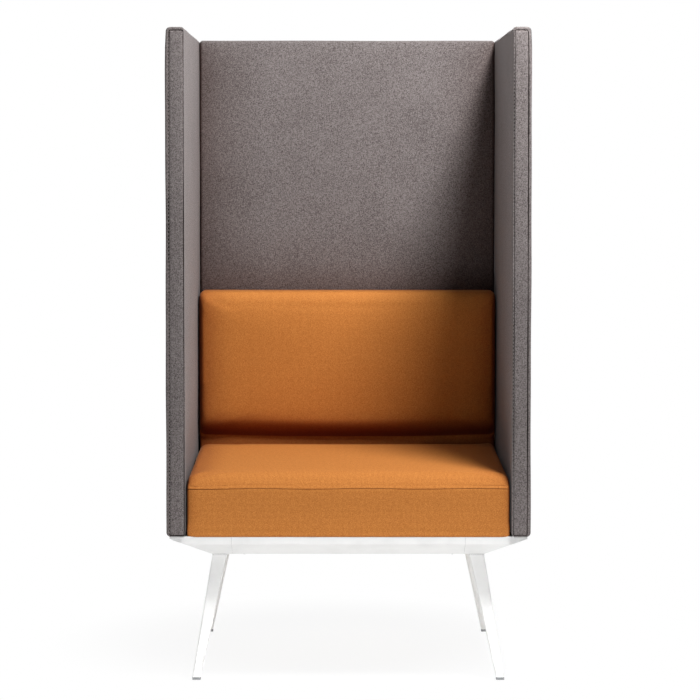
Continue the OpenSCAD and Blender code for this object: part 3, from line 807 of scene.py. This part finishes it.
@dataclass
class SidePanel:
    """Upholstered side panel: foam and felted wool over a board, closed by a sewn strip at each end."""

    side: Side
    inner_rim: float
    fill: float = 0.97
    end_roll: float = 2.6 * MM
    roll_steps: int = 4
    outer_rim: float = 6.4 * MM
    top_rim: float = 6.4 * MM
    foot_rim: float = 1.8 * MM
    outer_corner: float = 9 * MM
    inner_corner: float = 6 * MM
    seam_corner: float = 4.5 * MM
    least_radius: float = 0.15 * MM
    groove_half: float = 0.8 * MM
    groove_depth: float = 2.6 * MM
    # Ways in from the groove, each with its share of the strip's rise
    crown_steps: tuple[tuple[float, float], ...] = ((1.5 * MM, 0.2), (5 * MM, 0.75), (9 * MM, 1.0))
    crown: float = 0.5 * MM
    # Where the painted shade in the groove starts, and where it ends below the top and over the foot
    shade_start: float = 0.9 * MM
    shade_top: float = 3 * MM
    shade_foot: float = 1 * MM
    grid: float = 45 * MM
    long_edge: float = 100 * MM
    corner_pull: float = 2.6 * MM
    pull_reach: float = 28 * MM
    pull_length: float = 112 * MM
    wave_height: float = 0.8 * MM
    wave_length: float = 310 * MM
    stitch_length: float = 5.0 * MM
    stitch_width: float = 1.7 * MM
    stitch_pitch: float = 8.0 * MM
    stitch_aside: float = 0.0
    stitch_sink: float = 0.9 * MM

    @property
    def name(self) -> str:
        """Side in lower case, as the nodes are named."""
        return self.side.name.lower()

    @property
    def phase(self) -> float:
        """Shift of the cover's waves."""
        return 1.3 + self.side.value

    def is_long_edge(self, edge: bmesh.types.BMEdge, outer: bool) -> bool:
        """Looks for the edges along Y, where the cover is rolled over the board.

        Args:
            edge: An edge of the box.
            outer: Whether edges of the outer face are wanted, or of the inner one.

        Returns:
            Whether it is one of them.
        """
        ends = [v.co for v in edge.verts]
        along = abs(ends[0].y - ends[1].y) > self.long_edge
        middle = (self.low.x + self.high.x) / 2
        return along and ((ends[0].x - middle) * self.side.value > 0) == outer

    def corner(self, place: Vector, ring: Ring) -> tuple[Vector, float]:
        """Finds the rounded corner that a point of a ring belongs to.

        Args:
            place: The point.
            ring: The ring.

        Returns:
            Centre and radius of the corner.
        """
        middle = (self.low + self.high) / 2
        outer = (place.x - middle.x) * self.side.value > 0
        upper = place.z > middle.z
        first_radius = self.outer_corner if outer else self.inner_corner
        radius = first_radius * (1 - ring.share) + self.seam_corner * ring.share - ring.beyond
        radius = max(radius, self.least_radius)
        side_way = self.side.value if outer else -self.side.value
        up_way = 1 if upper else -1
        side_edge = self.high.x if side_way > 0 else self.low.x
        up_edge = self.high.z if upper else self.low.z
        inset = ring.beyond + radius
        side_inset = ring.share * (self.outer_rim if outer else self.inner_rim) + inset
        up_inset = ring.share * (self.top_rim if upper else self.foot_rim) + inset
        centre = (side_edge - side_way * side_inset, place.y, up_edge - up_way * up_inset)
        return Vector(centre), radius

    def close_end(self, piece: Piece, towards: int) -> None:
        """Rolls the cover round one end and sews the strip in, ring by ring.

        Args:
            piece: Piece in edit mode.
            towards: -1 for the front end, 1 for the rear.
        """
        pick(piece, "FACE", lambda f: f.normal.y * towards > 0.99)
        last = Ring(0, 0, -self.end_roll)
        for ring in self.rings():
            bpy.ops.mesh.extrude_region_move()
            mesh = bmesh.from_edit_mesh(piece.data)
            for vert in [v for v in mesh.verts if v.select]:
                old_centre, _ = self.corner(vert.co, last)
                new_centre, radius = self.corner(vert.co, ring)
                way = (vert.co - old_centre).normalized()
                vert.co = new_centre + way * radius
                vert.co.y += towards * (ring.rise - last.rise)
            bmesh.update_edit_mesh(piece.data)
            last = ring

    def rings(self) -> list[Ring]:
        """Lists the rings of a closed end: roll, sewn groove and crowned strip.

        Returns:
            The rings, from the outside in.
        """
        turns = [math.pi / 2 * k / self.roll_steps for k in range(1, self.roll_steps + 1)]
        roll = [Ring(0.5 * (1 - math.cos(a)), 0, self.end_roll * (math.sin(a) - 1)) for a in turns]
        half, depth = self.groove_half, self.groove_depth
        groove = [
            Ring(0.9, 0, 0),
            Ring(1, 0, -0.5 * depth),
            Ring(1, half, -depth),
            Ring(1, 2 * half, -0.2 * depth),
        ]
        strip = [Ring(1, 2 * half + way, self.crown * share) for way, share in self.crown_steps]
        return roll + groove + strip

    def shade_seams(self, piece: Piece) -> None:
        """Paints shade on the faces down in the grooves, with the second material.

        Args:
            piece: The cover, with both finishes.
        """
        for face in piece.data.polygons:
            centre = face.center
            depth = min(centre.y - self.low.y, self.high.y - centre.y)
            aside = min(centre.x - self.low.x, self.high.x - centre.x)
            down = self.shade_start < depth < self.groove_depth and abs(face.normal.y) < 0.95
            if down and aside > self.shade_start:
                foot, top = self.low.z + self.shade_foot, self.high.z - self.shade_top
                face.material_index = 1 if foot < centre.z < top else 0

    def build(self) -> Piece:
        """Models the cover as one sewn skin.

        Returns:
            The cover.
        """
        self.low, self.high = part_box(f"{self.name}_cover")
        roll = Vector((0, self.end_roll, 0))
        piece = add_box(f"{self.name}_panel_cover", self.low + roll, self.high - roll)
        bpy.ops.object.mode_set(mode="EDIT")
        pick(piece, "EDGE", lambda e: self.is_long_edge(e, True))
        bpy.ops.mesh.bevel(offset=self.outer_corner, segments=5, affect="EDGES")
        pick(piece, "EDGE", lambda e: self.is_long_edge(e, False))
        bpy.ops.mesh.bevel(offset=self.inner_corner, segments=4, affect="EDGES")
        for towards in (-1, 1):
            self.close_end(piece, towards)
        cut_planes(Y, even_places(self.low.y, self.high.y, self.grid))
        cut_planes(Z, even_places(self.low.z, self.high.z, self.grid))
        join_points()
        smooth_by_angle(piece, COVER_ANGLE)
        ripple(piece, self.wave_height, self.wave_length, self.phase)
        self.pull_corners(piece)
        return piece

    def pull_corners(self, piece: Piece) -> None:
        """Draws the outer face in towards the top corners, as a tight cover does.

        Args:
            piece: Piece in object mode.
        """
        places = points_of(piece)
        outer_x = self.high.x if self.side is Side.RIGHT else self.low.x
        thickness = self.high.x - self.low.x
        depth = np.clip(1 - np.abs(places[:, X] - outer_x) / thickness, 0, 1)
        top = np.exp((places[:, Z] - self.high.z) / self.pull_reach)
        front = np.exp(-(places[:, Y] - self.low.y) / self.pull_length)
        rear = np.exp((places[:, Y] - self.high.y) / self.pull_length)
        places[:, X] -= self.side.value * self.corner_pull * depth * top * (front + rear)
        move_points(piece, places)

    def stitch(self, towards: int) -> Piece:
        """Sews the strip's left seam over with a row of stitches, as seen from the chair's front.

        Args:
            towards: -1 for the front end, 1 for the rear.

        Returns:
            The row of stitches.
        """
        rim = self.outer_rim if self.side is Side.LEFT else self.inner_rim
        across = self.low.x + rim + self.groove_half - self.stitch_aside
        first = self.low.z + self.foot_rim + self.seam_corner
        last = self.high.z - self.top_rim - self.seam_corner
        end = self.low.y if towards < 0 else self.high.y
        deselect_all()
        place = (across, end - towards * self.stitch_sink, first + self.stitch_length / 2)
        bpy.ops.mesh.primitive_uv_sphere_add(segments=6, ring_count=4, radius=1, location=place)
        row = bpy.context.object
        row.name = f"{self.name}_stitches"
        row.scale = (self.stitch_width / 2, self.stitch_width / 3, self.stitch_length / 2)
        bpy.ops.object.transform_apply(location=True, rotation=True, scale=True)
        array = row.modifiers.new("row", "ARRAY")
        array.use_relative_offset = False
        array.use_constant_offset = True
        array.constant_offset_displace = (0, 0, self.stitch_pitch)
        array.count = int((last - first) / self.stitch_pitch)
        bpy.ops.object.modifier_apply(modifier=array.name)
        bpy.ops.object.shade_smooth()
        places = points_of(row)
        flat = np.array(places)
        flat[:, X] = across
        flat[:, Y] = end
        places[:, Y] += towards * swell_at(flat, self.wave_height, self.wave_length, self.phase)
        move_points(row, places)
        return row

    def dress(self, piece: Piece, felt: Material, seam: Material, thread: Material) -> None:
        """Gives the cover its finishes, its stitches and its place.

        Args:
            piece: The cover.
            felt: Finish of the cover.
            seam: Painted shade down in the seams.
            thread: Finish of the stitches.
        """
        piece.data.materials.append(felt)
        piece.data.materials.append(seam)
        self.shade_seams(piece)
        rows = [self.stitch(towards) for towards in (-1, 1)]
        for row in rows:
            row.data.materials.append(thread)
        activate(piece)
        for row in rows:
            row.select_set(True)
        bpy.ops.object.join()
        ends = [f"{self.name}_{end}_strip" for end in ("front", "rear")]
        hand_over(piece, [f"{self.name}_cover", *ends])


@dataclass
class BackPanel:
    """Upholstered back panel between the side panels."""

    fill: float = 0.97
    edge_roll: float = 8 * MM
    grid: float = 45 * MM
    wave_height: float = 0.8 * MM
    wave_length: float = 340 * MM
    phase: float = 0.4

    def build(self) -> Piece:
        """Models the cover over both faces and the top.

        Returns:
            The cover.
        """
        low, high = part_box("back_cover")
        piece = add_box("back_panel_cover", low, high)
        bpy.ops.object.mode_set(mode="EDIT")
        bpy.ops.mesh.select_all(action="SELECT")
        bpy.ops.mesh.bevel(offset=self.edge_roll, segments=5, affect="EDGES")
        cut_planes(X, even_places(low.x, high.x, self.grid))
        cut_planes(Z, even_places(low.z, high.z, self.grid))
        join_points()
        smooth_by_angle(piece, COVER_ANGLE)
        ripple(piece, self.wave_height, self.wave_length, self.phase)
        return piece

    def dress(self, piece: Piece, felt: Material) -> None:
        """Gives the cover its finish and its place."""
        piece.data.materials.append(felt)
        hand_over(piece, ["back_cover"])


@dataclass
class PaintedFrame:
    """Coated castings and rails, whose slightly rounded edges leave fine lines at the joints."""

    nodes: tuple[str, ...] = (
        "front_left_leg",
        "front_right_leg",
        "rear_left_leg",
        "rear_right_leg",
        "front_rail",
        "rear_rail",
        "left_rail",
        "right_rail",
    )
    edge: float = 0.9 * MM
    # Angles in degrees: faces that turn less are one face, and edges that turn more are sharp
    flat_angle: float = 0.5
    edge_angle: float = 32.0

    def build(self) -> dict[str, Piece]:
        """Copies each piece of the frame and rounds its sharp edges.

        Returns:
            The pieces by the name of the node.
        """
        return {node: self.round_edges(copy_node(node, f"{node}_coated")) for node in self.nodes}

    def round_edges(self, piece: Piece) -> Piece:
        """Bevels the sharp edges of one piece and keeps its faces flat.

        Args:
            piece: The active piece, in object mode.

        Returns:
            The same piece.
        """
        bpy.ops.object.mode_set(mode="EDIT")
        bpy.ops.mesh.select_all(action="SELECT")
        bpy.ops.mesh.dissolve_limited(angle_limit=math.radians(self.flat_angle))
        bpy.ops.object.mode_set(mode="OBJECT")
        bevel = piece.modifiers.new("rounded_edges", "BEVEL")
        bevel.width = self.edge
        bevel.segments = 2
        bevel.limit_method = "ANGLE"
        bevel.angle_limit = math.radians(self.edge_angle)
        bpy.ops.object.modifier_apply(modifier=bevel.name)
        smooth_by_angle(piece, self.edge_angle)
        flat = piece.modifiers.new("flat_faces", "WEIGHTED_NORMAL")
        flat.weight = 100
        flat.keep_sharp = True
        bpy.ops.object.modifier_apply(modifier=flat.name)
        return piece

    def dress(self, pieces: dict[str, Piece], coat: Material) -> None:
        """Gives the pieces their finish and their places.

        Args:
            pieces: The pieces by the name of the node.
            coat: Finish of the frame.
        """
        for node, piece in pieces.items():
            piece.data.materials.append(coat)
            hand_over(piece, [node])


@dataclass
class Cushion:
    """Foam cushion in a sewn cover, inflated a little by a cloth simulation."""

    node: str
    fill: float = 0.95
    voxel: float = 6.5 * MM
    shrink: float = 0.6 * MM
    cap: float = 3.2 * MM
    pressure: float = 1.2
    stiffness: float = 25.0
    foot: float = 0.0
    frames: int = 20
    side_hold: float = 4 * MM
    # Width of the cover's rim round the plywood's pocket, and the axes along the plywood
    rim: float = 10 * MM
    board_axes: tuple[int, int] = (X, Y)
    # Edges sharper than this stay sharp, in degrees
    sharp_angle: float = 75.0

    def start(self) -> Piece:
        """Copies the solid, slightly smaller, as an even net of faces.

        Returns:
            The copy, active, in object mode.
        """
        piece = copy_node(self.node, f"{self.node}_cover")
        remesh = piece.modifiers.new("even_net", "REMESH")
        remesh.mode = "VOXEL"
        remesh.voxel_size = self.voxel
        bpy.ops.object.modifier_apply(modifier=remesh.name)
        bpy.ops.object.mode_set(mode="EDIT")
        low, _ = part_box(self.node)
        pick(piece, "VERT", lambda v: v.co.z > low.z + self.foot)
        bpy.ops.mesh.vertices_smooth(factor=0.5, repeat=2)
        bpy.ops.transform.shrink_fatten(value=-self.shrink)
        bpy.ops.object.mode_set(mode="OBJECT")
        return piece

    def held(self, places: np.ndarray) -> np.ndarray:
        """Says which points the seams and the seat below hold still."""
        raise NotImplementedError

    def near_ends(self, places: np.ndarray, axis: int, reach: float) -> np.ndarray:
        """Looks for the points near either end of the cushion along an axis.

        Args:
            places: Places of all points.
            axis: Number of the axis.
            reach: How near the points lie.

        Returns:
            Whether each point is one of them.
        """
        low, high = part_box(self.node)
        return (places[:, axis] < low[axis] + reach) | (places[:, axis] > high[axis] - reach)

    def outside(self, places: np.ndarray) -> np.ndarray:
        """Says which points lie on the outside of the cover, not in the plywood's pocket."""
        first, second = (self.near_ends(places, axis, self.rim) for axis in self.board_axes)
        return first | second

    def inflate(self, piece: Piece) -> None:
        """Lets a cloth simulation press the cover out, up to a cap.

        Args:
            piece: Piece in object mode.
        """
        rest = points_of(piece)
        group = piece.vertex_groups.new(name="held")
        group.add([int(i) for i in np.nonzero(self.held(rest))[0]], 1.0, "REPLACE")
        cloth = piece.modifiers.new("swell", "CLOTH")
        settings = {
            "quality": 4,
            "mass": 0.3,
            "tension_stiffness": self.stiffness,
            "compression_stiffness": self.stiffness,
            "bending_stiffness": 8,
            "use_pressure": True,
            "uniform_pressure_force": self.pressure,
            "vertex_group_mass": group.name,
        }
        for key, value in settings.items():
            setattr(cloth.settings, key, value)
        cloth.settings.effector_weights.gravity = 0
        cloth.point_cache.frame_start = 1
        cloth.point_cache.frame_end = self.frames
        for step in range(1, self.frames + 1):
            bpy.context.scene.frame_set(step)
        activate(piece)
        bpy.ops.object.modifier_apply(modifier=cloth.name)
        piece.vertex_groups.clear()
        way = points_of(piece) - rest
        length = np.linalg.norm(way, axis=1)[:, None]
        LOG.info("%s swells by %.1f mm at most", piece.name, length.max() / MM)
        move_points(piece, rest + way * self.cap / (self.cap + length))
        bpy.context.scene.frame_set(1)

    def swell(self, piece: Piece) -> None:
        """Inflates the cover against its seams and makes its net finer.

        Args:
            piece: Piece in object mode.
        """
        self.inflate(piece)
        finer = piece.modifiers.new("finer", "SUBSURF")
        finer.levels = 1
        finer.render_levels = 1
        activate(piece)
        bpy.ops.object.modifier_apply(modifier=finer.name)

    def score(self, piece: Piece, axis: int, level: float, groove: Groove) -> None:
        """Presses a seam into the cover, all round, across an axis.

        Args:
            piece: Piece in object mode.
            axis: Number of the axis that the seam's plane crosses.
            level: Place of the seam on it.
            groove: Size of the groove.
        """
        activate(piece)
        bpy.ops.object.mode_set(mode="EDIT")
        cut_planes(axis, [level - groove.half, level + groove.half, level])
        bpy.ops.object.mode_set(mode="OBJECT")
        places = points_of(piece)
        normals = normals_of(piece)
        normals[:, axis] = 0
        pressed = (np.abs(places[:, axis] - level) < ON_CUT) & self.outside(places)
        places[pressed] -= normals[pressed] * groove.depth
        move_points(piece, places)

    def dress(self, piece: Piece, wool: Material) -> None:
        """Gives the cover its finish and its place."""
        piece.data.materials.append(wool)
        hand_over(piece, [self.node])


@dataclass
class SeatCushion(Cushion):
    """Boxed seat cushion, with a sewn seam all round below its rolled top edge."""

    node: str = "seat_cushion"
    voxel: float = 7 * MM
    foot: float = 22 * MM
    rear_hold: float = 8 * MM
    seam: float = 416 * MM
    seam_hold: float = 4 * MM
    seam_groove: Groove = Groove(1.6 * MM, 2.4 * MM)
    stitch_rise: float = 6.5 * MM
    stitch_groove: Groove = Groove(1.2 * MM, 0.5 * MM)
    # The seam wanders a little, and dips towards the left panel
    wander_band: float = 18 * MM
    wander: float = 0.7 * MM
    wander_length: float = 230 * MM
    wander_phase: float = 0.6
    dip: float = 1.4 * MM
    dip_place: float = -350 * MM
    dip_reach: float = 60 * MM
    roll: float = 9.5 * MM
    # Shares of the roll that the boxed sides and the foot take up
    side_share: float = 0.95
    foot_share: float = 0.85
    lip: float = 2.6 * MM
    lip_height: float = 9 * MM
    lip_start: float = 2.6 * MM
    lip_fade: float = 1.6 * MM
    lean: float = 6 * MM
    lean_reach: float = 70 * MM
    lean_rise: float = 11 * MM
    corner_lift: float = 7 * MM
    corner_width: float = 45 * MM
    corner_depth: float = 35 * MM

    def held(self, places: np.ndarray) -> np.ndarray:
        """Holds the underside, the seam, the rear face and the sides.

        Args:
            places: Places of all points.

        Returns:
            Whether each point is held.
        """
        low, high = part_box(self.node)
        under = places[:, Z] < low.z + self.foot
        seam = np.abs(places[:, Z] - self.seam) < self.seam_hold
        rear = places[:, Y] > high.y - self.rear_hold
        return under | seam | rear | self.near_ends(places, X, self.side_hold)

    def build(self) -> Piece:
        """Models the cover with its seam.

        Returns:
            The cover.
        """
        piece = self.start()
        self.swell(piece)
        self.score(piece, Z, self.seam, self.seam_groove)
        self.score(piece, Z, self.seam + self.stitch_rise, self.stitch_groove)
        places = self.let_seam_wander(points_of(piece))
        low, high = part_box(self.node)
        for side_x, way in ((low.x, -1), (high.x, 1)):
            places = self.sharpen(places, (X, Y), (side_x, low.y), (way, -1), self.side_share)
            places = self.sharpen(places, (X, Z), (side_x, low.z), (way, -1), self.foot_share)
        places = self.sharpen(places, (Y, Z), (low.y, low.z), (-1, -1), self.foot_share)
        move_points(piece, self.lean_back(self.raise_corner(self.hang_lip(places))))
        smooth_by_angle(piece, self.sharp_angle)
        return piece

    def let_seam_wander(self, places: np.ndarray) -> np.ndarray:
        """Lets the seam run a little unevenly, as a sewn one does.

        Args:
            places: Places of all points.

        Returns:
            Their new places.
        """
        near = np.exp(-(((places[:, Z] - self.seam) / self.wander_band) ** 2))
        turn = places[:, X] * 2 * math.pi / self.wander_length + self.wander_phase
        dip = self.dip * np.exp(-(places[:, X] - self.dip_place) / self.dip_reach)
        moved = np.array(places)
        moved[:, Z] += near * (self.wander * np.sin(turn) - dip)
        return moved

    def sharpen(
        self,
        places: np.ndarray,
        axes: tuple[int, int],
        corner: tuple[float, float],
        ways: tuple[int, int],
        share: float,
    ) -> np.ndarray:
        """Pulls a rolled edge out towards its corner.

        Args:
            places: Places of all points.
            axes: The two axes across the edge.
            corner: Where the two faces beside it would meet.
            ways: On each axis, 1 where the corner is at the high end and -1 at the low end.
            share: How much of the roll is taken up.

        Returns:
            Their new places.
        """
        axes, ways = list(axes), np.array(ways)
        centre = np.array(corner) - ways * self.roll
        way = places[:, axes] - centre
        inside = (way * ways > 0).all(axis=1)
        reach = np.maximum(np.linalg.norm(way, axis=1), MERGE)
        # The longer side of a point's way is at least 0.7 of the way itself
        side = np.maximum(np.abs(way).max(axis=1), 0.7 * reach)
        factor = 1 + share * (reach / side - 1)
        moved = np.array(places)
        moved[:, axes] = np.where(inside[:, None], centre + way * factor[:, None], places[:, axes])
        return moved

    def hang_lip(self, places: np.ndarray) -> np.ndarray:
        """Lets the foot of the front hang a little over the rail's upper edge.

        Args:
            places: Places of all points.

        Returns:
            Their new places.
        """
        low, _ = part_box(self.node)
        at_foot = np.clip(1 - (places[:, Z] - low.z) / self.lip_height, 0, 1)
        at_front = np.clip((low.y + self.lip_start - places[:, Y]) / self.lip_fade, 0, 1)
        moved = np.array(places)
        moved[:, Z] -= self.lip * at_foot * at_front
        moved[:, Y] -= 0.5 * self.lip * at_foot * at_front
        return moved

    def lean_back(self, places: np.ndarray) -> np.ndarray:
        """Lets the roll over the seam lean back, so that it is a broad curve that ends at the seam.

        Args:
            places: Places of all points.

        Returns:
            Their new places.
        """
        low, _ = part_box(self.node)
        above = np.clip(places[:, Z] - self.seam, 0, None)
        forward = np.clip(1 - (places[:, Y] - low.y) / self.lean_reach, 0, 1)
        moved = np.array(places)
        moved[:, Y] += self.lean * (1 - np.exp(-above / self.lean_rise)) * forward
        return moved

    def raise_corner(self, places: np.ndarray) -> np.ndarray:
        """Lifts the rear right corner a little, where the cover is bunched against the panels.

        Args:
            places: Places of all points.

        Returns:
            Their new places.
        """
        low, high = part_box(self.node)
        beside = np.exp(-(((places[:, X] - high.x) / self.corner_width) ** 2))
        behind = np.exp(-(((places[:, Y] - high.y) / self.corner_depth) ** 2))
        top = np.clip((places[:, Z] - low.z) / (high.z - low.z), 0, 1) ** 2
        moved = np.array(places)
        moved[:, Z] += self.corner_lift * beside * behind * top
        return moved


@dataclass
class BackCushion(Cushion):
    """Lumbar cushion with a swelling face, tucked behind the seat at its foot."""

    node: str = "back_cushion"
    board_axes: tuple[int, int] = (X, Z)
    rear_hold: float = 16 * MM
    top_hold: float = 5 * MM
    foot_hold: float = 100 * MM
    seam_inset: float = 22 * MM
    seam_groove: Groove = Groove(1.6 * MM, 2.0 * MM)
    turn_start: float = 514 * MM
    turn_height: float = 42 * MM
    turn_depth: float = 5 * MM
    recess: float = 208.5 * MM
    smoothings: int = 30

    def held(self, places: np.ndarray) -> np.ndarray:
        """Holds the rear face, the top, the sides and the foot.

        Args:
            places: Places of all points.

        Returns:
            Whether each point is held.
        """
        low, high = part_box(self.node)
        rear = places[:, Y] > high.y - self.rear_hold
        top = places[:, Z] > high.z - self.top_hold
        foot = places[:, Z] < low.z + self.foot_hold
        return rear | top | foot | self.near_ends(places, X, self.side_hold)

    def build(self) -> Piece:
        """Models the cover with its rear seam.

        Returns:
            The cover.
        """
        piece = self.start()
        self.swell(piece)
        self.smooth_face(piece)
        self.turn_under(piece)
        _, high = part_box(self.node)
        self.score(piece, Y, high.y - self.seam_inset, self.seam_groove)
        smooth_by_angle(piece, self.sharp_angle)
        return piece

    def smooth_face(self, piece: Piece) -> None:
        """Draws small creases out of the lower face, where the cover is stretched tight.

        Args:
            piece: Piece in object mode.
        """
        activate(piece)
        bpy.ops.object.mode_set(mode="EDIT")
        foot = self.turn_start - self.turn_height
        top = self.turn_start + 2 * self.turn_height
        pick(piece, "VERT", lambda v: v.co.y < self.recess and foot < v.co.z < top)
        bpy.ops.mesh.vertices_smooth(factor=0.5, repeat=self.smoothings)
        bpy.ops.object.mode_set(mode="OBJECT")

    def turn_under(self, piece: Piece) -> None:
        """Rounds the foot of the swelling face towards the recess behind the seat.

        Args:
            piece: Piece in object mode.
        """
        places = points_of(piece)
        way = np.clip((self.turn_start - places[:, Z]) / self.turn_height, 0, 1)
        deeper = places[:, Y] + self.turn_depth * way**2 * (3 - 2 * way)
        front = places[:, Y] < self.recess
        places[:, Y] = np.where(front, np.minimum(deeper, self.recess), places[:, Y])
        move_points(piece, places)


@dataclass(frozen=True)
class Studio:
    """White studio: a pale floor, a soft lamp at the upper right, a low fill and white surroundings."""

    lamp_place: Triple = (0.77, -0.986, 2.63)
    lamp_target: Triple = (0.0, 0.1, 1.0)
    lamp_size: float = 0.5
    lamp_power: float = 76.0
    fill_place: Triple = (-0.05, -2.4, 0.3)
    fill_target: Triple = (-0.05, 0.0, -0.08)
    fill_width: float = 1.7
    fill_height: float = 0.4
    fill_power: float = 1.2
    fill_spread: float = 28.0
    front_light: float = 0.12
    backdrop_light: float = 0.9
    # Parts of a direction along Y between which the surroundings turn from front to backdrop
    backdrop_levels: tuple[float, float] = (0.1, 0.8)
    floor_size: float = 40.0
    floor_glow: float = 0.9
    shadow_centre: Triple = (-0.05, 0.15, 0.0)
    # Distances from the shadow's centre between which the floor turns white: near it less of the floor
    # glows and the chair's real shadow shows, further off painted glow hides it
    shadow_reach: tuple[float, float] = (0.25, 0.68)
    table_light: float = 0.42
    camera_place: Triple = (-0.028, -5.9222, 1.1191)
    camera_pitch: float = 2.771
    camera_lens: float = 134.83
    # Pixel of the photograph that lies on the lens's axis
    axis_pixel: tuple[float, float] = (335.35, 287.1)

    def build_floor(self) -> None:
        """Lays a floor that glows white to the camera and in part to the rays that light the chair, and
        shows the chair's shadow only near it, where it glows less.
        """
        deselect_all()
        bpy.ops.mesh.primitive_plane_add(size=self.floor_size)
        floor = bpy.context.object
        floor.name = "floor"
        material, tree = start_material("painted_studio_floor")
        ends = {0: add_node(tree, "TexCoord").outputs["Object"], 1: self.shadow_centre}
        span = add_node(tree, "VectorMath", {"operation": "DISTANCE"}, ends).outputs["Value"]
        steps = {0: span, 1: self.shadow_reach[0], 2: self.shadow_reach[1]}
        far = add_node(tree, "MapRange", SOFT_STEP, steps).outputs[0]
        shown = add_node(tree, "MapRange", {}, {0: far, 3: self.floor_glow, 4: 1.0}).outputs[0]
        shares = {0: seen_directly(tree), 3: self.table_light, 4: shown}
        share = add_node(tree, "MapRange", {}, shares).outputs[0]
        paint = add_node(tree, "BsdfDiffuse", {}, {"Color": linear("F2F2F2")}).outputs[0]
        white = {"Color": linear("FFFFFF"), "Strength": 1.0}
        glow = add_node(tree, "Emission", {}, white).outputs[0]
        mix = add_node(tree, "MixShader", {}, {0: share, 1: paint, 2: glow})
        add_node(tree, "OutputMaterial", {}, {"Surface": mix.outputs[0]})
        floor.data.materials.append(material)

    def build_surroundings(self) -> None:
        """Makes the surroundings white to the camera and a weak fill elsewhere."""
        world = bpy.data.worlds.new("studio")
        bpy.context.scene.world = world
        world.use_nodes = True
        tree = world.node_tree
        tree.nodes.clear()
        place = add_node(tree, "TexCoord").outputs["Generated"]
        along = add_node(tree, "SeparateXYZ", {}, {0: place}).outputs["Y"]
        steps = {0: along, 1: self.backdrop_levels[0], 2: self.backdrop_levels[1]}
        behind = add_node(tree, "MapRange", SOFT_STEP, steps).outputs[0]
        lights = {0: behind, 3: self.front_light, 4: self.backdrop_light}
        light = add_node(tree, "MapRange", {}, lights).outputs[0]
        strengths = {0: seen_directly(tree), 3: light, 4: 1.0}
        strength = add_node(tree, "MapRange", {}, strengths).outputs[0]
        white = {"Color": linear("FFFFFF"), "Strength": strength}
        back = add_node(tree, "Background", {}, white)
        add_node(tree, "OutputWorld", {}, {"Surface": back.outputs[0]})

    def hang_lamp(self, name: str, place: Triple, target: Triple) -> bpy.types.AreaLight:
        """Hangs a soft lamp.

        Args:
            name: Name of the lamp.
            place: Where it hangs.
            target: Where it points.

        Returns:
            The lamp's data.
        """
        lamp = bpy.data.lights.new(name, "AREA")
        lamp.shape = "DISK"
        holder = bpy.data.objects.new(name, lamp)
        bpy.context.scene.collection.objects.link(holder)
        holder.location = place
        holder.rotation_euler = (Vector(target) - Vector(place)).to_track_quat("-Z", "Y").to_euler()
        return lamp

    def build_lamps(self) -> None:
        """Hangs the soft lamp at the upper right and a low, wide fill for the frame."""
        key = self.hang_lamp("soft_lamp", self.lamp_place, self.lamp_target)
        key.size = self.lamp_size
        key.energy = self.lamp_power
        fill = self.hang_lamp("low_fill", self.fill_place, self.fill_target)
        fill.shape = "ELLIPSE"
        fill.size = self.fill_width
        fill.size_y = self.fill_height
        fill.energy = self.fill_power
        fill.spread = math.radians(self.fill_spread)

    def build_camera(self) -> None:
        """Sets the camera at the photograph's angle."""
        lens = bpy.data.cameras.new("camera")
        lens.lens = self.camera_lens
        lens.sensor_width = 36.0
        lens.shift_x = (PHOTO_SIZE / 2 - self.axis_pixel[0]) / PHOTO_SIZE
        lens.shift_y = (self.axis_pixel[1] - PHOTO_SIZE / 2) / PHOTO_SIZE
        camera = bpy.data.objects.new("camera", lens)
        bpy.context.scene.collection.objects.link(camera)
        camera.location = self.camera_place
        camera.rotation_euler = (math.radians(90 - self.camera_pitch), 0, 0)
        bpy.context.scene.camera = camera

    def build(self) -> None:
        """Builds the studio."""
        bpy.context.scene.view_settings.view_transform = "Standard"
        self.build_floor()
        self.build_surroundings()
        self.build_lamps()
        self.build_camera()


def dress_nodes(finishes: dict[str, Material]) -> None:
    """Gives each CAD node that stays its finish.

    Args:
        finishes: Materials by the record's slots.
    """
    for subpart in frame["record"]["subparts"]:
        node = frame["nodes"][subpart["node"]]
        material = finishes[subpart["material_slot"]]
        if node.material_slots:
            for place in node.material_slots:
                place.material = material
        else:
            node.data.materials.append(material)


def main() -> None:
    """Builds every piece in order."""
    logging.basicConfig(level=logging.INFO, format="%(message)s")
    felt = FeltedWool().build()
    wool = WovenWool().build()
    finishes = {
        "frame_coat": PowderCoat("satin_white_powder_coat", "EFEFEE").build(),
        "dark_steel": PowderCoat("black_coated_steel", "232426", 0.5).build(),
        "zinc_steel": PlatedSteel().build(),
        "glide_plastic": MouldedPlastic().build(),
        "plywood": SawnWood("sanded_birch_plywood", "C79F66", "DFC08C").build(),
        "panel_board": SawnWood("raw_panel_board", "97784F", "B5966A").build(),
        "seat_wool": wool,
        "panel_felt": felt,
    }
    dress_nodes(finishes)
    # Painted shade for the faces down in the seams' grooves
    seam = PaintedSeamShade("painted_shade_in_a_seam", "3A3331").build()
    thread = SewingThread("grey_brown_sewing_thread", "8E8785").build()
    left = SidePanel(Side.LEFT, inner_rim=0.6 * MM)
    right = SidePanel(Side.RIGHT, inner_rim=2.3 * MM, stitch_aside=1.1 * MM, stitch_sink=0.25 * MM)
    for panel in (left, right):
        panel.dress(panel.build(), felt, seam, thread)
    back = BackPanel()
    back.dress(back.build(), felt)
    chassis = PaintedFrame()
    chassis.dress(chassis.build(), finishes["frame_coat"])
    for cushion in (SeatCushion(), BackCushion()):
        cushion.dress(cushion.build(), wool)
    Studio().build()


if __name__ == "__main__":
    main()
